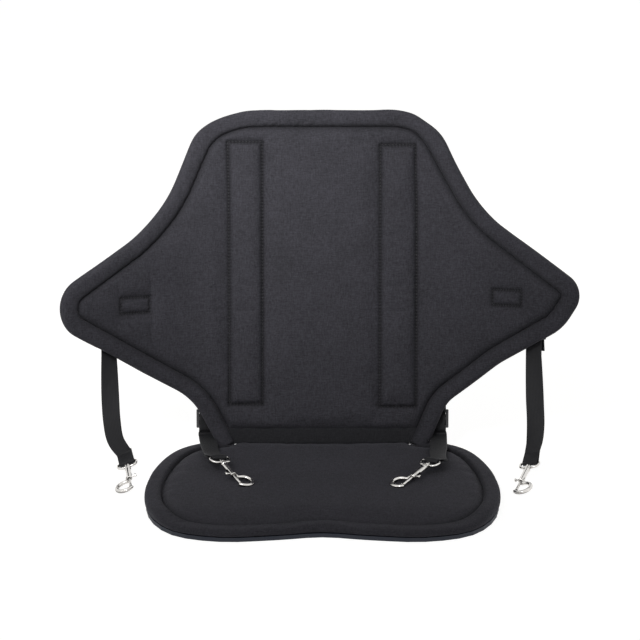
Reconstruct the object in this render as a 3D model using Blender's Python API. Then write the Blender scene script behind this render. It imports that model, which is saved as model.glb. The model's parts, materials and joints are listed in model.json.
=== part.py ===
"""A soft clip-on canoe seat: a winged, padded backrest sewn to a padded seat,
with four webbing straps that each end in a swivel snap hook.

World frame: X to the right as seen from in front, Y towards the back, Z up.
The origin is the middle of the seat's underside. Left and right are as seen
from in front.
The backrest is laid out flat in u (across), v (up) and w (forward), and is
then leant back and its two wings are swept forward by the function bend.
"""
from math import asin, atan2, ceil, cos, hypot, pi, radians, sin, tan

import bmesh
import bpy
from mathutils import Matrix, Vector

# Clearance between pieces that touch
gap = 0.0003

# Which way is outwards on each side
outwards = {"left": -1, "right": 1}

# Backrest outline, half of it: where its straight edges would meet
back_height = 0.378
shoulder_half = 0.1255
waist_half = 0.183
waist_height = 0.264
wing_apex_half = 0.344
wing_apex_height = 0.166
elbow_half = 0.1585
elbow_height = 0.0645
foot_half = 0.116
foot_height = 0.0025

# Radii of the backrest's corners, at the seam for those that bulge outwards
shoulder_seam_radius = 0.057
wing_seam_radius = 0.0165
waist_radius = 0.110
elbow_radius = 0.100

# Backrest layers, from the middle of the pad outwards
back_rim_width = 0.018
back_rim_thickness = 0.015
back_core_thickness = 0.0092
skin_thickness = 0.0014

# Backrest shape
lean = radians(10.0)
flat_half = 0.085
bend_radius = 0.190
wing_sweep_left = radians(37.0)
wing_sweep_right = radians(34.0)

# Stays in their stitched channels
stay_spacing_half = 0.0865
stay_width = 0.028
stay_thickness = 0.0023
stay_bottom = 0.052
stay_length = 0.280
stay_side_room = 0.0015
channel_ramp = 0.003

# Hinge strip between the two pads
hinge_height = 0.014
hinge_half = 0.100
hinge_thickness = 0.003

# Seat pad
seat_half_width = 0.1915
seat_front = 0.143
seat_rear = 0.143
seat_dip = 0.013
seat_rim_width = 0.019
seat_rim_thickness = 0.0131
seat_core_thickness = 0.0102
base_sheet_thickness = 0.0045
base_sheet_inset = 0.0015

# Webbing and its plastic sliders
webbing_width = 0.020
webbing_thickness = 0.0015
loop_width = 0.0175
slider_wall = 0.0030
slider_bar = 0.0032
slider_slot = 0.0060
slider_thickness = 0.0024
slider_side_room = 0.0004
tail_length = 0.024
loop_sewn_at = 0.014
loop_end = 0.020
hanger_offset = 0.0004
side_strap_way = (0, -0.86, -0.5)
lower_strap_sag = 0.30

# Where the tabs and sliders are sewn on, on the flat backrest
wing_box_inset = 0.128
wing_box_drop = 0.005
wing_box_length = 0.038
wing_tab_overhang = 0.0005
wing_strap_outset = {"left": 0.034, "right": 0.030}
wing_slider_drop = {"left": 0.0219, "right": 0.0291}
foot_strap_outset = 0.013
foot_slider_height = 0.024
foot_tab_sewn = 0.030

# Snap hooks, along their own axis from the swivel collar's end
wire_radius = 0.0015
eye_depth = 0.0100
eye_shoulder = 0.0052
eye_taper = 0.86
eye_corner = 0.0025
boss_radius = 0.0032
boss_length = 0.0043
pin_radius = 0.00145
pin_head_radius = 0.0026
pin_head_length = 0.0020
collar_radius = 0.0036
collar_length = 0.0040
barrel_radius = 0.0031
barrel_end = 0.0275
bore_radius = 0.00185
bore_floor = 0.007
bore_run_out = 0.007
loop_wire_radius = 0.0020
loop_radius = 0.0095
loop_centre = 0.0415
loop_offset = 0.0060
loop_tip_angle = radians(-50.0)
bolt_radius = 0.0015
bolt_start = 0.0165
bolt_travel = 0.007
knob_at = 0.0235
knob_pin_radius = 0.00105
knob_reach = 0.0085
knob_head_radius = 0.0020
knob_head_length = 0.0018
slot_end_room = 0.0004
spring_wire_radius = 0.00022
spring_turns = 4

# How each hook lies: heading from straight ahead, dip and roll
side_hook_turns = {
    "left": (radians(8.6), radians(7.3), radians(18.5)),
    "right": (radians(-20.5), radians(13.1), radians(13.5)),
}
lower_hook_turns = {
    "left": (radians(26.7), radians(11.3), radians(-6.0)),
    "right": (radians(-35.3), radians(10.9), radians(2.5)),
}

# Places on the straps: outwards, forward of the pad's rear edge, and upwards.
# The side ones are measured from the pad's side edge and the floor, the lower
# ones from the middle of their sewn tab and the pad's top.
side_crossbars = {"left": (0.0270, 0.0763), "right": (0.0402, 0.0823)}
lower_crossbars = {"left": (-0.0150, 0.1125), "right": (-0.0094, 0.1205)}
side_runs = {
    "left": [(0.0458, 0.0544, 0.0829), (0.0442, 0.0593, 0.0563), (0.0405, 0.0623, 0.0361)],
    "right": [(0.0460, 0.0543, 0.0829), (0.0469, 0.0623, 0.0573), (0.0458, 0.0673, 0.0378)],
}
lower_runs = {
    "left": [(0.0035, 0.0025, 0.0071), (0.0025, 0.0100, 0.0048), (0.0010, 0.0240, 0.0043),
             (-0.0020, 0.0490, 0.0058), (-0.0050, 0.0750, 0.0088)],
    "right": [(0.0035, 0.0025, 0.0071), (0.0035, 0.0100, 0.0048), (0.0030, 0.0240, 0.0043),
              (0.0020, 0.0490, 0.0058), (-0.0005, 0.0750, 0.0088)],
}

# Sizes that follow from those above
seat_top_rim = base_sheet_thickness + gap + seat_rim_thickness
seat_core_bottom = base_sheet_thickness + gap
seat_core_top = seat_core_bottom + seat_core_thickness
seat_top = seat_core_top + gap + skin_thickness
back_base = Vector((0.0, seat_rear - seat_rim_width / 2, seat_top_rim + 3 * gap))
core_face = back_core_thickness / 2
skin_inner = core_face + gap
skin_outer = skin_inner + skin_thickness
rim_face = back_rim_thickness / 2
channel_rise = stay_thickness + gap
channel_half = stay_width / 2 + stay_side_room + channel_ramp
channel_bottom = stay_bottom - stay_side_room - channel_ramp
channel_top = stay_bottom + stay_length + stay_side_room + channel_ramp
foot_strap_half = foot_half + foot_strap_outset
foot_tab_lift = elbow_height + back_rim_width
wing_box_half = wing_apex_half - wing_box_inset
wing_box_height = wing_apex_height - wing_box_drop
wing_edge_slope = (wing_apex_height - elbow_height) / (wing_apex_half - elbow_half)
tab_face = skin_outer + gap + webbing_thickness / 2
bar_turn = hypot(slider_bar / 2, slider_thickness / 2) + gap + webbing_thickness / 2
slider_back = rim_face + gap + webbing_thickness / 2 + bar_turn
slider_width = webbing_width + 2 * (slider_side_room + slider_wall)
slider_pitch = slider_bar / 2 + slider_slot + slider_wall / 2
crossbar_at = -(boss_length / 2 + gap + eye_depth)
bolt_end = loop_centre + (loop_radius * cos(loop_tip_angle)) - loop_wire_radius - 0.0001
slot_start = knob_at - bolt_travel - knob_pin_radius - slot_end_room
slot_end = knob_at + knob_pin_radius + slot_end_room


def clear_scene():
    for thing in list(bpy.data.objects):
        bpy.data.objects.remove(thing, do_unlink=True)


# Materials
def material(name, colour, roughness, metallic=0.0):
    made = bpy.data.materials.new(name)
    made.use_nodes = True
    shader = made.node_tree.nodes["Principled BSDF"]
    shader.inputs["Base Color"].default_value = (*colour, 1.0)
    shader.inputs["Roughness"].default_value = roughness
    shader.inputs["Metallic"].default_value = metallic
    return made


# Outlines
def straight_points(start, end, step):
    count = max(1, ceil((end - start).length / step))
    return [start.lerp(end, i / count) for i in range(count)]


def rounded_path(corners, step, angle=radians(14)):
    """Points along straight edges whose inner corners are turned as arcs."""
    points = []
    last = Vector(corners[0][:2])
    for before, here, after in zip(corners, corners[1:], corners[2:]):
        p, q, r = Vector(before[:2]), Vector(here[:2]), Vector(after[:2])
        along_in = (q - p).normalized()
        along_out = (r - q).normalized()
        turn = atan2(along_in.cross(along_out), along_in.dot(along_out))
        reach = min(here[2] * tan(abs(turn) / 2), 0.48 * (q - p).length, 0.48 * (r - q).length)
        radius = reach / tan(abs(turn) / 2)
        arc_start = q - along_in * reach
        points += straight_points(last, arc_start, step)
        side = Vector((-along_in.y, along_in.x)) * (1 if turn > 0 else -1)
        centre = arc_start + side * radius
        count = max(2, ceil(abs(turn) / angle), ceil(abs(turn) * radius / step))
        for i in range(count):
            points.append(centre + Matrix.Rotation(turn * i / count, 2) @ (arc_start - centre))
        last = q + along_out * reach
    end = Vector(corners[-1][:2])
    points += straight_points(last, end, step)
    points.append(end)
    return points


def smooth_loop(points, count):
    """A closed Catmull-Rom curve through the points."""
    loop = []
    n = len(points)
    for k in range(n):
        a, b, c, d = (Vector(points[(k + j) % n]) for j in (-1, 0, 1, 2))
        for i in range(count):
            t = i / count
            loop.append(0.5 * (2 * b + (c - a) * t + (2 * a - 5 * b + 4 * c - d) * t * t
                               + (3 * b - a - 3 * c + d) * t ** 3))
    return loop


def smooth_run(points, count):
    """An open Catmull-Rom curve through the points."""
    run = []
    held = [points[0] * 2 - points[1]] + points + [points[-1] * 2 - points[-2]]
    for a, b, c, d in zip(held, held[1:], held[2:], held[3:]):
        for i in range(count):
            t = i / count
            run.append(0.5 * (2 * b + (c - a) * t + (2 * a - 5 * b + 4 * c - d) * t * t
                              + (3 * b - a - 3 * c + d) * t ** 3))
    return run + [points[-1]]


def inset(path, distance, closed):
    """The path moved sideways, to the right of its direction."""
    moved = []
    n = len(path)
    for i, here in enumerate(path):
        before = path[i - 1] if closed or i else here
        after = path[(i + 1) % n] if closed or i < n - 1 else here
        sides = []
        for a, b in ((before, here), (here, after)):
            if (b - a).length > 1e-9:
                run = (b - a).normalized()
                sides.append(Vector((run.y, -run.x)))
        middle = sum(sides, Vector((0, 0))).normalized()
        moved.append(here + middle * (distance / middle.dot(sides[0])))
    return moved


def above(points, level):
    """The closed outline cut off below a level."""
    kept = []
    for a, b in zip(points, points[1:] + points[:1]):
        if a.y >= level:
            kept.append(a)
        if (a.y - level) * (b.y - level) < 0:
            kept.append(a.lerp(b, (level - a.y) / (b.y - a.y)))
    return kept


def back_outline(step=0.0155):
    """The backrest's outer edge, from its left foot over the top to its right foot."""
    half = [
        (foot_half, foot_height, 0),
        (elbow_half, elbow_height, elbow_radius),
        (wing_apex_half, wing_apex_height, wing_seam_radius + back_rim_width),
        (waist_half, waist_height, waist_radius),
        (shoulder_half, back_height, shoulder_seam_radius + back_rim_width),
    ]
    left = [(-u, v, r) for u, v, r in half]
    return rounded_path(left + half[::-1], step)


def wing_edge(u):
    """The height of the wing's lower edge."""
    return elbow_height + (abs(u) - elbow_half) * wing_edge_slope


def seat_outline():
    """The seat's outer edge, clockwise from the middle of its front."""
    wide, front, rear = seat_half_width, seat_front, seat_rear
    half = [
        (0.255, -1.0 + 0.36 * seat_dip / front),
        (0.555, -1.0),
        (0.822, -0.862),
        (0.972, -0.490),
        (0.998, 0.035),
        (0.916, 0.615),
        (0.762, 0.895),
        (0.500, 1.0),
    ]
    right = [(x * wide, y * (rear if y > 0 else front)) for x, y in half]
    left = [(-x, y) for x, y in right]
    return smooth_loop([(0.0, -front + seat_dip)] + left + [(0.0, rear)] + right[::-1], 3)


# The backrest's curved space
def wing_sweep(u):
    return wing_sweep_left if u < 0 else wing_sweep_right


def bend(u, v, w):
    """A place on the flat backrest, in the world."""
    side = -1 if u < 0 else 1
    past = max(abs(u) - flat_half, 0.0)
    turn = min(past / bend_radius, wing_sweep(u))
    straight = past - turn * bend_radius
    across = min(abs(u), flat_half) + bend_radius * sin(turn) + straight * cos(turn)
    forward = bend_radius * (1 - cos(turn)) + straight * sin(turn)
    across -= w * sin(turn)
    forward += w * cos(turn)
    face = Vector((0, -cos(lean), sin(lean)))
    up = Vector((0, sin(lean), cos(lean)))
    return back_base + Vector((side * across, 0, 0)) + face * forward + up * v


def bent(co):
    return bend(co.x, co.y, co.z)


def bend_lines():
    """Where the flat pad is scored so that it can follow the bend."""
    widest = bend_radius * max(wing_sweep_left, wing_sweep_right)
    count = ceil(widest / 0.0155)
    lines = [flat_half + widest * i / count for i in range(count + 1)]
    return [-u for u in lines] + lines


# Solids
def finish(name, bm, finish_material, place=None):
    bmesh.ops.recalc_face_normals(bm, faces=bm.faces)
    mesh = bpy.data.meshes.new(name)
    bm.to_mesh(mesh)
    bm.free()
    return add_object(name, mesh, finish_material, place)


def add_object(name, mesh, finish_material, place=None, parent=None):
    thing = bpy.data.objects.new(name, mesh)
    bpy.context.scene.collection.objects.link(thing)
    if finish_material and not mesh.materials:
        mesh.materials.append(finish_material)
    mesh.shade_smooth()
    mesh.set_sharp_from_angle(angle=radians(40))
    thing.parent = parent
    if place is not None:
        thing.matrix_local = place
    return thing


def prism(bm, outline, low, high):
    """A closed prism between two levels of the third axis."""
    bottom = [bm.verts.new((p[0], p[1], low)) for p in outline]
    top = [bm.verts.new((p[0], p[1], high)) for p in outline]
    bm.faces.new(bottom[::-1])
    bm.faces.new(top)
    for i in range(len(outline)):
        j = (i + 1) % len(outline)
        bm.faces.new((bottom[i], bottom[j], top[j], top[i]))


def score(bm, places, axis):
    """Cuts the faces along planes square to the axis, taking nothing away."""
    for place in places:
        parts = bm.verts[:] + bm.edges[:] + bm.faces[:]
        bmesh.ops.bisect_plane(bm, geom=parts, dist=1e-7, plane_co=axis * place, plane_no=axis)


def tube(bm, rings, closed):
    """Skins a list of rings of points; open ends get flat caps."""
    made = [[bm.verts.new(p) for p in ring] for ring in rings]
    count = len(made[0])
    pairs = list(zip(made, made[1:])) + ([(made[-1], made[0])] if closed else [])
    for a, b in pairs:
        for i in range(count):
            j = (i + 1) % count
            bm.faces.new((a[i], a[j], b[j], b[i]))
    if not closed:
        bm.faces.new(made[0][::-1])
        bm.faces.new(made[-1])


def soft_section(width, thickness, sides=10):
    """A rounded section for a padded border."""
    section = []
    for k in range(sides):
        c, s = cos(2 * pi * k / sides), sin(2 * pi * k / sides)
        across = (abs(c) ** 0.8) * (1 if c > 0 else -1)
        high = (abs(s) ** 0.6) * (1 if s > 0 else -1)
        section.append((across * width / 2, high * thickness / 2))
    return section


def border(name, path, section, closed, middle, finish_material, shape=None):
    """Sweeps a section along a flat path, then shapes the result."""
    right = inset(path, 1.0, closed)
    rings = []
    for here, beside in zip(path, right):
        side = beside - here
        ring = [(here.x + side.x * a, here.y + side.y * a, middle + b) for a, b in section]
        rings.append(ring)
    bm = bmesh.new()
    tube(bm, rings, closed)
    if shape:
        for vert in bm.verts:
            vert.co = shape(vert.co)
    return finish(name, bm, finish_material)


def wire(bm, path, radius, sides, closed=False):
    """Sweeps a round section along a path that lies in the XY plane."""
    rings = []
    n = len(path)
    for i, here in enumerate(path):
        before = path[i - 1] if closed or i else here
        after = path[(i + 1) % n] if closed or i < n - 1 else here
        run = (after - before).normalized()
        side = Vector((run.y, -run.x, 0))
        ring = []
        for k in range(sides):
            t = 2 * pi * (k + 0.5) / sides
            ring.append(here + side * (radius * cos(t)) + Vector((0, 0, radius * sin(t))))
        rings.append(ring)
    tube(bm, rings, closed)


def rod(bm, start, end, radius, sides=12, end_radius=None):
    """A round bar along X."""
    rings = []
    for x, r in ((start, radius), (end, end_radius or radius)):
        rings.append([Vector((x, r * cos(t), r * sin(t)))
                      for t in (2 * pi * (k + 0.5) / sides for k in range(sides))])
    tube(bm, rings, False)


# Backrest
def back_panel_outline(bottom):
    path = inset(back_outline(), back_rim_width + gap, False)
    return above(path, bottom)


def channel_bump(u, v):
    """How far the front fabric is pushed out over a stay."""
    across = channel_half - abs(abs(u) - stay_spacing_half)
    along = min(v - channel_bottom, channel_top - v)
    share = min(across, along) / channel_ramp
    return channel_rise * min(max(share, 0.0), 1.0)


def back_layer(name, low, high, finish_material, channels=False):
    bm = bmesh.new()
    prism(bm, back_panel_outline(hinge_height + foot_height), low, high)
    score(bm, bend_lines(), Vector((1, 0, 0)))
    if channels:
        edges = [stay_spacing_half + s * (channel_half - r)
                 for s in (-1, 1) for r in (0, channel_ramp)]
        score(bm, edges + [-u for u in edges], Vector((1, 0, 0)))
        ends = [channel_bottom, channel_bottom + channel_ramp,
                channel_top - channel_ramp, channel_top]
        score(bm, ends, Vector((0, 1, 0)))
    bmesh.ops.triangulate(bm, faces=bm.faces)
    for vert in bm.verts:
        rise = channel_bump(vert.co.x, vert.co.y) if channels else 0.0
        vert.co = bend(vert.co.x, vert.co.y, vert.co.z + rise)
    return finish(name, bm, finish_material)


def back_rim(finish_material):
    path = inset(back_outline(), back_rim_width / 2, False)
    section = soft_section(back_rim_width, back_rim_thickness)
    border("backrest_rim", path, section, False, 0.0, finish_material, bent)


def stay(side, finish_material):
    centre = stay_spacing_half * outwards[side]
    half, round_off = stay_width / 2, stay_width / 4
    low, high = stay_bottom, stay_bottom + stay_length
    outline = []
    for cu, cv, start in ((1, 1, 0), (-1, 1, 90), (-1, -1, 180), (1, -1, 270)):
        middle_v = high - round_off if cv > 0 else low + round_off
        for k in range(4):
            t = radians(start + 30 * k)
            outline.append((centre + cu * (half - round_off) + round_off * cos(t),
                            middle_v + round_off * sin(t)))
    bm = bmesh.new()
    prism(bm, outline, skin_inner, skin_inner + stay_thickness - gap)
    score(bm, bend_lines(), Vector((1, 0, 0)))
    bmesh.ops.triangulate(bm, faces=bm.faces)
    for vert in bm.verts:
        vert.co = bent(vert.co)
    finish("stay_" + side, bm, finish_material)


def hinge_strip(finish_material):
    low = 2 * gap
    high = hinge_height + foot_height - gap
    inner_foot = foot_half - back_rim_width - 4 * gap
    half = min(hinge_half, inner_foot)
    outline = [(-half, low), (half, low), (half, high), (-half, high)]
    bm = bmesh.new()
    prism(bm, outline, -hinge_thickness / 2, hinge_thickness / 2)
    score(bm, [u for u in bend_lines() if abs(u) < half], Vector((1, 0, 0)))
    bmesh.ops.triangulate(bm, faces=bm.faces)
    for vert in bm.verts:
        vert.co = bent(vert.co)
    finish("hinge_strip", bm, finish_material)


# Seat
def seat_layer(name, distance, low, high, finish_material):
    bm = bmesh.new()
    prism(bm, inset(seat_outline(), distance, True), low, high)
    bmesh.ops.triangulate(bm, faces=bm.faces)
    finish(name, bm, finish_material)


def seat_rim(finish_material):
    path = inset(seat_outline(), seat_rim_width / 2, True)
    section = soft_section(seat_rim_width, seat_rim_thickness)
    middle = seat_core_bottom + seat_rim_thickness / 2
    border("seat_rim", path, section, True, middle, finish_material)


# Webbing
def ribbon(bm, path, width_ways, widths=None):
    """A flat band along a path, with the way that its width lies at each point."""
    widths = widths or [webbing_width] * len(path)
    rings = []
    for i, here in enumerate(path):
        before = path[max(i - 1, 0)]
        after = path[min(i + 1, len(path) - 1)]
        run = (after - before).normalized()
        way = width_ways[i]
        way = (way - run * way.dot(run)).normalized() * (widths[i] / 2)
        thick = run.cross(way).normalized() * (webbing_thickness / 2)
        rings.append([here - way - thick, here + way - thick, here + way + thick, here - way + thick])
    tube(bm, rings, False)


def half_turn(count=6):
    """Angles of a band's turn over a bar."""
    return [pi * k / count for k in range(count + 1)]


def axes_at(u, v):
    """Across, up and forward of the bent pad at a flat place."""
    step = 0.0001
    across = (bend(u + step, v, 0) - bend(u - step, v, 0)).normalized()
    up = (bend(u, v + step, 0) - bend(u, v - step, 0)).normalized()
    forward = (bend(u, v, step) - bend(u, v, -step)).normalized()
    return across, up, forward


def tab_path(u, top, lift, slider_v):
    """Down the back of the pad, round the slider's top bar and up again behind."""
    bar = slider_v + slider_pitch
    front_w = -slider_back + bar_turn
    rear_w = -slider_back - bar_turn
    layer = webbing_thickness + gap
    path = [(top, -tab_face), (0.5 * (top + lift), -tab_face), (lift, -tab_face)]
    path += [(0.6 * bar + 0.4 * lift, front_w), (bar + 0.001, front_w)]
    turn = [(bar - bar_turn * sin(t), -slider_back + bar_turn * cos(t)) for t in half_turn()]
    path += turn
    path += [(bar + 0.001, rear_w), (0.6 * bar + 0.4 * lift, front_w - 1.4 * layer)]
    path += [(lift, -tab_face - 1.1 * layer), (0.5 * (top + lift), -tab_face - layer)]
    return [bend(u, v, w) for v, w in path]


def foot_tab(side, finish_material):
    u = foot_strap_half * outwards[side]
    path = tab_path(u, foot_tab_lift + foot_tab_sewn, foot_tab_lift, foot_slider_height)
    across = axes_at(u, foot_slider_height)[0]
    bm = bmesh.new()
    ribbon(bm, path, [across] * len(path))
    finish("lower_tab_" + side, bm, finish_material)


def wing_strap_place(side):
    """Where the side strap's slider lies on the flat backrest."""
    u = wing_box_half + wing_strap_outset[side]
    return u * outwards[side], wing_box_height - wing_slider_drop[side]


def wing_tab(side, finish_material):
    """A band sewn on along the wing, and folded down to hold the slider."""
    u, slider_v = wing_strap_place(side)
    sign = outwards[side]
    fold = wing_box_height + webbing_width / 2 - gap
    across, up, _ = axes_at(u, slider_v)
    band = bmesh.new()
    ends = (wing_box_half - wing_box_length / 2, abs(u) + webbing_width / 2 + wing_tab_overhang)
    path = [bend(sign * (ends[0] + (ends[1] - ends[0]) * i / 4), wing_box_height, -tab_face)
            for i in range(5)]
    ribbon(band, path, [up] * len(path))
    whole = finish("wing_tab_" + side, band, finish_material)
    hanger = bmesh.new()
    lift = wing_box_height + 0.001
    path = tab_path(u, fold, lift, slider_v)
    offset = axes_at(u, fold)[2] * -hanger_offset
    ribbon(hanger, [p + offset for p in path], [across] * len(path))
    join(whole, [finish("hanger_" + side, hanger, None)])


def slider_filled(column, level):
    return column in (0, 2) or level in (0, 2, 4)


def slider(name, origin, axes, finish_material):
    """A three-bar plastic slider."""
    across, up, forward = axes
    half_wide = slider_width / 2
    half_high = slider_pitch + slider_wall / 2
    bm = bmesh.new()
    bars = [(-half_high, -half_high + slider_wall), (-slider_bar / 2, slider_bar / 2),
            (half_high - slider_wall, half_high)]
    levels = sorted(level for bar in bars for level in bar)
    columns = [-half_wide, -half_wide + slider_wall, half_wide - slider_wall, half_wide]
    grid = {}
    for i in range(4):
        for j in range(6):
            for k in (0, 1):
                place = (columns[i], levels[j], (k - 0.5) * slider_thickness)
                grid[i, j, k] = bm.verts.new(place)
    for i in range(3):
        for j in range(5):
            if not slider_filled(i, j):
                continue
            corners = [(i, j), (i + 1, j), (i + 1, j + 1), (i, j + 1)]
            bm.faces.new([grid[(*c, 1)] for c in corners])
            bm.faces.new([grid[(*c, 0)] for c in corners[::-1]])
            beside = [(i, j - 1), (i + 1, j), (i, j + 1), (i - 1, j)]
            for c, d, near in zip(corners, corners[1:] + corners[:1], beside):
                inside = 0 <= near[0] < 3 and 0 <= near[1] < 5 and slider_filled(*near)
                if not inside:
                    bm.faces.new([grid[(*c, 0)], grid[(*d, 0)], grid[(*d, 1)], grid[(*c, 1)]])
    turn = Matrix((across, up, across.cross(up))).transposed().to_4x4()
    bmesh.ops.transform(bm, matrix=Matrix.Translation(origin) @ turn, verts=bm.verts)
    thing = finish(name, bm, finish_material)
    rounding = thing.modifiers.new("rounded edges", "BEVEL")
    rounding.width = 0.0005
    rounding.segments = 1
    return thing


def strap_place(side, half_width, place, level=0.0):
    """A place given outwards of a half width, forward of the seat's rear, and up."""
    x = outwards[side] * (half_width + place[0])
    return Vector((x, seat_rear - place[1], level + (place[2] if len(place) > 2 else 0.0)))


def strap(name, slider_at, clear_of, run, eye, finish_material):
    """Tail, turn over the slider's middle bar, free run, and loop round the eye."""
    u, slider_v = slider_at
    across, up, forward = axes_at(u, slider_v)
    at = bend(u, slider_v, -slider_back)
    down = slider_pitch + slider_wall / 2 + 0.002
    path = [at - up * tail_length - forward * (bar_turn + 0.0012),
            at - up * down - forward * bar_turn]
    turn = [at + up * (bar_turn * sin(t) + 0.0006) - forward * (bar_turn * cos(t))
            for t in half_turn()]
    path += turn
    path.append(at - up * down + forward * bar_turn)
    if clear_of:
        path.append(bend(u, clear_of, -slider_back + bar_turn))
    ways = [across] * len(path)
    bar, cross, back = eye
    cross = cross if cross.dot(across) > 0 else -cross
    ring = wire_radius + gap + webbing_thickness / 2
    layer = (webbing_thickness + gap) / 2
    over = back.cross(cross).normalized()
    over = over if over.z > 0 else -over
    near = bar + back * loop_sewn_at + over * layer
    free = smooth_run([path[-1]] + run + [near], 5)[1:-1]
    path += free
    shares = [(i + 1) / len(free) for i in range(len(free))]
    ways += [across.lerp(cross, share ** 1.5) for share in shares]
    widths = [webbing_width] * (len(path) - len(free))
    widths += [webbing_width + (loop_width - webbing_width) * share ** 4 for share in shares]
    end = [near, bar + back * 0.006 + over * (0.75 * ring)]
    end += [bar - back * (ring * sin(t)) + over * (ring * cos(t)) for t in half_turn(8)]
    end += [bar + back * 0.006 - over * (0.75 * ring), bar + back * loop_sewn_at - over * layer,
            bar + back * loop_end - over * layer]
    path += end
    ways += [cross] * len(end)
    widths += [loop_width] * len(end)
    bm = bmesh.new()
    ribbon(bm, path, ways, widths)
    finish(name, bm, finish_material)


# Snap hooks
def hook_frame(place, turns, floor, loop_side):
    """Where a hook lies: its crossbar is raised until its loop meets the floor."""
    heading, dip, roll = turns
    axis = Vector((sin(heading) * cos(dip), -cos(heading) * cos(dip), -sin(dip)))
    level = Vector((cos(heading), sin(heading), 0))
    raised = level.cross(axis)
    raised = raised if raised.z > 0 else -raised
    cross = level * cos(roll) + raised * sin(roll)
    side = cross * loop_side
    reach = loop_centre - crossbar_at
    sag = loop_radius * hypot(axis.z, side.z)
    height = floor + loop_wire_radius + sag - reach * axis.z - loop_offset * side.z
    bar = Vector((place[0], place[1], height))
    turn = Matrix((axis, side, axis.cross(side))).transposed().to_4x4()
    return bar, axis, cross, Matrix.Translation(bar) @ turn


def join(whole, parts):
    """Unites solids by exact booleans, and keeps the evaluated result."""
    for part in parts:
        union = whole.modifiers.new("union", "BOOLEAN")
        union.operation = "UNION"
        union.object = part
    apply_modifiers(whole)
    for part in parts:
        bpy.data.objects.remove(part, do_unlink=True)


def cut(whole, parts):
    for part in parts:
        difference = whole.modifiers.new("cut", "BOOLEAN")
        difference.operation = "DIFFERENCE"
        difference.object = part
    apply_modifiers(whole)
    for part in parts:
        bpy.data.objects.remove(part, do_unlink=True)


def apply_modifiers(thing):
    bpy.context.view_layer.update()
    evaluated = thing.evaluated_get(bpy.context.evaluated_depsgraph_get())
    mesh = bpy.data.meshes.new_from_object(evaluated)
    thing.modifiers.clear()
    thing.data = mesh


def piece(make, *arguments, **options):
    """A working solid, made by one of the bar or wire functions."""
    bm = bmesh.new()
    make(bm, *arguments, **options)
    return finish("working", bm, None)


def taken_mesh(thing, shift):
    """The finished mesh of a working solid, moved to its own origin."""
    mesh = thing.data
    mesh.transform(Matrix.Translation(shift))
    bpy.data.objects.remove(thing, do_unlink=True)
    return mesh


def eye_mesh():
    """The swivel eye: a wire frame with a bored boss, from its crossbar's middle."""
    half = loop_width / 2 + gap / 2 + eye_corner
    near = -boss_length / 2 - gap
    corners = [(near, 0, 0), (near, half * eye_taper, eye_shoulder), (crossbar_at, half, eye_corner),
               (crossbar_at, -half, eye_corner), (near, -half * eye_taper, eye_shoulder), (near, 0, 0)]
    path = [p.to_3d() for p in rounded_path(corners, 0.009, radians(30))[:-1]]
    frame = piece(wire, path, wire_radius, 8, closed=True)
    join(frame, [piece(rod, near - boss_length / 2, near + boss_length / 2, boss_radius)])
    cut(frame, [piece(rod, near - boss_length, near + boss_length, pin_radius + gap)])
    return taken_mesh(frame, (-crossbar_at, 0, 0))


def hook_mesh():
    """Swivel pin, barrel and loop as one casting, with the bolt's bore and slot."""
    body = piece(rod, 0.0, collar_length, collar_radius)
    head_at = -boss_length - 2 * gap
    parts = [
        piece(rod, collar_length - 0.001, barrel_end, barrel_radius),
        piece(rod, head_at - 0.0005, 0.001, pin_radius),
        piece(rod, head_at - pin_head_length, head_at, pin_head_radius),
    ]
    start = pi + asin((loop_offset - barrel_radius) / loop_radius)
    centre = Vector((loop_centre, loop_offset, 0))
    path = [Vector((barrel_end - 0.005, barrel_radius - 0.0001, 0)),
            Vector((barrel_end, barrel_radius - 0.0001, 0))]
    count = 15
    for i in range(count + 1):
        t = start + (loop_tip_angle - start) * i / count
        path.append(centre + Vector((cos(t), sin(t), 0)) * loop_radius)
    parts.append(piece(wire, path, loop_wire_radius, 8))
    join(body, parts)
    bore = piece(rod, bore_floor, barrel_end + bore_run_out, bore_radius)
    width = knob_pin_radius + gap
    slot = bmesh.new()
    prism(slot, [(slot_start, -2 * barrel_radius), (slot_end, -2 * barrel_radius),
                 (slot_end, 0), (slot_start, 0)], -width, width)
    cut(body, [bore, finish("working", slot, None)])
    return taken_mesh(body, (-crossbar_at, 0, 0))


def bolt_mesh():
    """The sliding bolt with its thumb knob."""
    bolt = piece(rod, bolt_start, bolt_end, bolt_radius)
    pin = piece(rod, 0.0, knob_reach - 0.0004, knob_pin_radius, sides=8)
    head = piece(rod, knob_reach - knob_head_length, knob_reach, knob_head_radius)
    place = Matrix.Translation((knob_at, 0, 0)) @ Matrix.Rotation(-pi / 2, 4, "Z")
    for part in (pin, head):
        part.data.transform(place)
    join(bolt, [pin, head])
    return taken_mesh(bolt, (-crossbar_at, 0, 0))


def spring_mesh():
    """The bolt's return spring, in the bottom of the bore."""
    radius = bore_radius - gap - spring_wire_radius
    low = bore_floor + gap + spring_wire_radius
    high = bolt_start - gap - spring_wire_radius
    count = 9 * spring_turns
    rings = []
    for i in range(count + 1):
        t = 2 * pi * i / 9
        out = Vector((0, cos(t), sin(t)))
        middle = Vector((low + (high - low) * i / count, 0, 0)) + out * radius
        ring = []
        for k in range(4):
            s = 2 * pi * k / 4
            ring.append(middle + out * (spring_wire_radius * cos(s))
                        + Vector((spring_wire_radius * sin(s), 0, 0)))
        rings.append(ring)
    bm = bmesh.new()
    tube(bm, rings, False)
    return taken_mesh(finish("working", bm, None), (-crossbar_at, 0, 0))


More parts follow.
